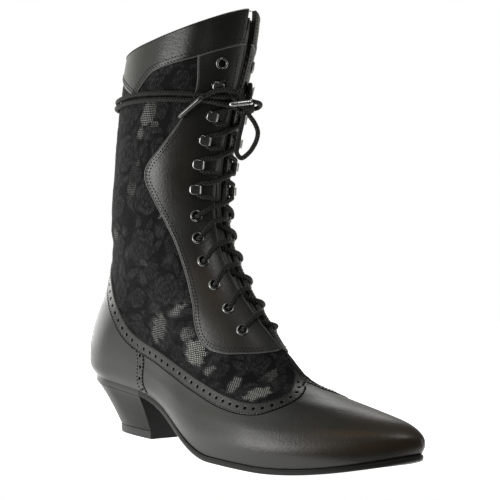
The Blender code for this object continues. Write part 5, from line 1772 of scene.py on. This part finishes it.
# Edge of the sole from the upper face down: share of its margin and share of its thickness
SOLE_EDGE_PROFILE = (
    (-2.0, 1.02), (0.2, 1.06), (0.55, 1.05), (0.80, 0.99), (0.86, 0.90), (0.74, 0.84), (0.80, 0.78),
    (0.97, 0.70), (1.0, 0.58), (0.94, 0.34), (0.82, 0.12), (0.62, 0.0), (0.3, 0.0), (-0.6, 0.04),
    (-0.9, 0.10), (-1.2, 0.04), (-1.6, 0.0))
SOLE_COLUMNS = 170


def build_outsole():
    """The sole with its grooved edge; behind the breast the edge is burnished with the heel."""
    shares = np.linspace(0, 1, SOLE_COLUMNS + 1)
    rings = []
    for margin, share in SOLE_EDGE_PROFILE:
        outer, inner = (sole_outline(sense * shares, margin * SOLE_EDGE) for sense in (-1, 1))
        back, front = 0.5 * (outer[0] + inner[0]), 0.5 * (outer[-1] + inner[-1])
        plan = np.vstack([back, inner[1:-1], front, outer[-2:0:-1]])
        rings.append(np.column_stack([plan, sole_underside(plan[:, 0]) + share * SOLE_THICKNESS]))
    size = len(rings[0])
    faces = [grid_faces(len(rings), size, closed=True, flip=True)]
    step = np.arange(1, SOLE_COLUMNS - 1)
    strips = np.stack([step, step + 1, size - step - 1, size - step], 1)
    ends = np.array([(0, 1, size - 1), (SOLE_COLUMNS - 1, SOLE_COLUMNS, SOLE_COLUMNS + 1)])
    for base in (0, (len(rings) - 1) * size):
        faces += [base + strips, base + ends]
    made = piece("sole_leather_edge", [(np.array(rings), faces)], SOLE, None, ("outsole",))
    made.data.materials.append(SEAT_EDGE)
    for face in made.data.polygons:
        face.material_index = int(face.center.x < (BREAST_X - ORIGIN_X) * MM)


HEEL_COLUMNS = 90
HEEL_DROPS = np.concatenate([[0.0, 0.01, 0.03], np.linspace(0.07, 0.95, 24), [0.975, 0.99, 1.0]])
HEEL_EDGE_IN, HEEL_LIFT_GAP = -0.25, 0.1
# Edge of the lift from its top down: margin in mm and share of its thickness
LIFT_PROFILE = (
    (-0.3, 1.0), (-0.05, 0.97), (0.04, 0.9), (-0.25, 0.5), (-0.6, 0.12), (-0.75, 0.03), (-1.0, 0.0))
SHARP_DEGREES, FRONT_FACING = 35, 0.9


def heel_ring(drop, margin=0.0):
    """Plan of the heel at a share of the way down, from the outer breast corner round the back."""
    turn = np.linspace(-1, 1, HEEL_COLUMNS + 1)
    top = plan_outline(turn * BREAST_ANGLE, margin)
    swing = np.abs(turn) ** HEEL_SPREAD * np.sign(turn) * math.pi / 2
    base_x = HEEL_BASE_X - (HEEL_BASE_LENGTH + margin) * np.clip(np.cos(swing), 0, 1) ** HEEL_BACK_ROUNDNESS
    base_y = (HEEL_BASE_HALF + margin) * np.sign(swing) * np.abs(np.sin(swing)) ** HEEL_SIDE_ROUNDNESS
    return top * (1 - drop) + np.stack([base_x, base_y], 1) * drop


def heel_piece(name, rings, look, node):
    """A part of the heel with sharp corners and a matt front face, painted darker as shade."""
    made = piece(name, [(np.array(rings), capped(rings))], look, None, (node,))
    made.data.set_sharp_from_angle(angle=math.radians(SHARP_DEGREES))
    # painted shade on the front faces
    made.data.materials.append(SHADED_BREAST)
    for face in made.data.polygons:
        face.material_index = int(face.normal.x > FRONT_FACING)


def build_heel():
    """The covered heel block and the lift under it."""
    rings = []
    for drop in HEEL_DROPS:
        plan = heel_ring(drop**HEEL_TAPER_POWER, HEEL_EDGE_IN if drop in (0.0, 1.0) else 0.0)
        top = sole_underside(plan[:, 0]) - GAP
        rings.append(np.column_stack([plan, top * (1 - drop) + (LIFT_THICKNESS + HEEL_LIFT_GAP) * drop]))
    heel_piece("heel_cover", rings, HEEL, "heel_block")
    rings = []
    for margin, share in LIFT_PROFILE:
        plan = heel_ring(1.0, margin)
        rings.append(np.column_stack([plan, np.full(len(plan), share * LIFT_THICKNESS)]))
    heel_piece("heel_lift_rubber", rings, TOP_LIFT, "heel_top_lift")


build_outsole()
build_heel()
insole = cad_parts["insole"]
insole.data.materials.clear()
insole.data.materials.append(LINING)

boxes = {"cad": cad_box, "visual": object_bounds()}
{key: [[float(x) for x in corner] for corner in box] for key, box in boxes.items()}
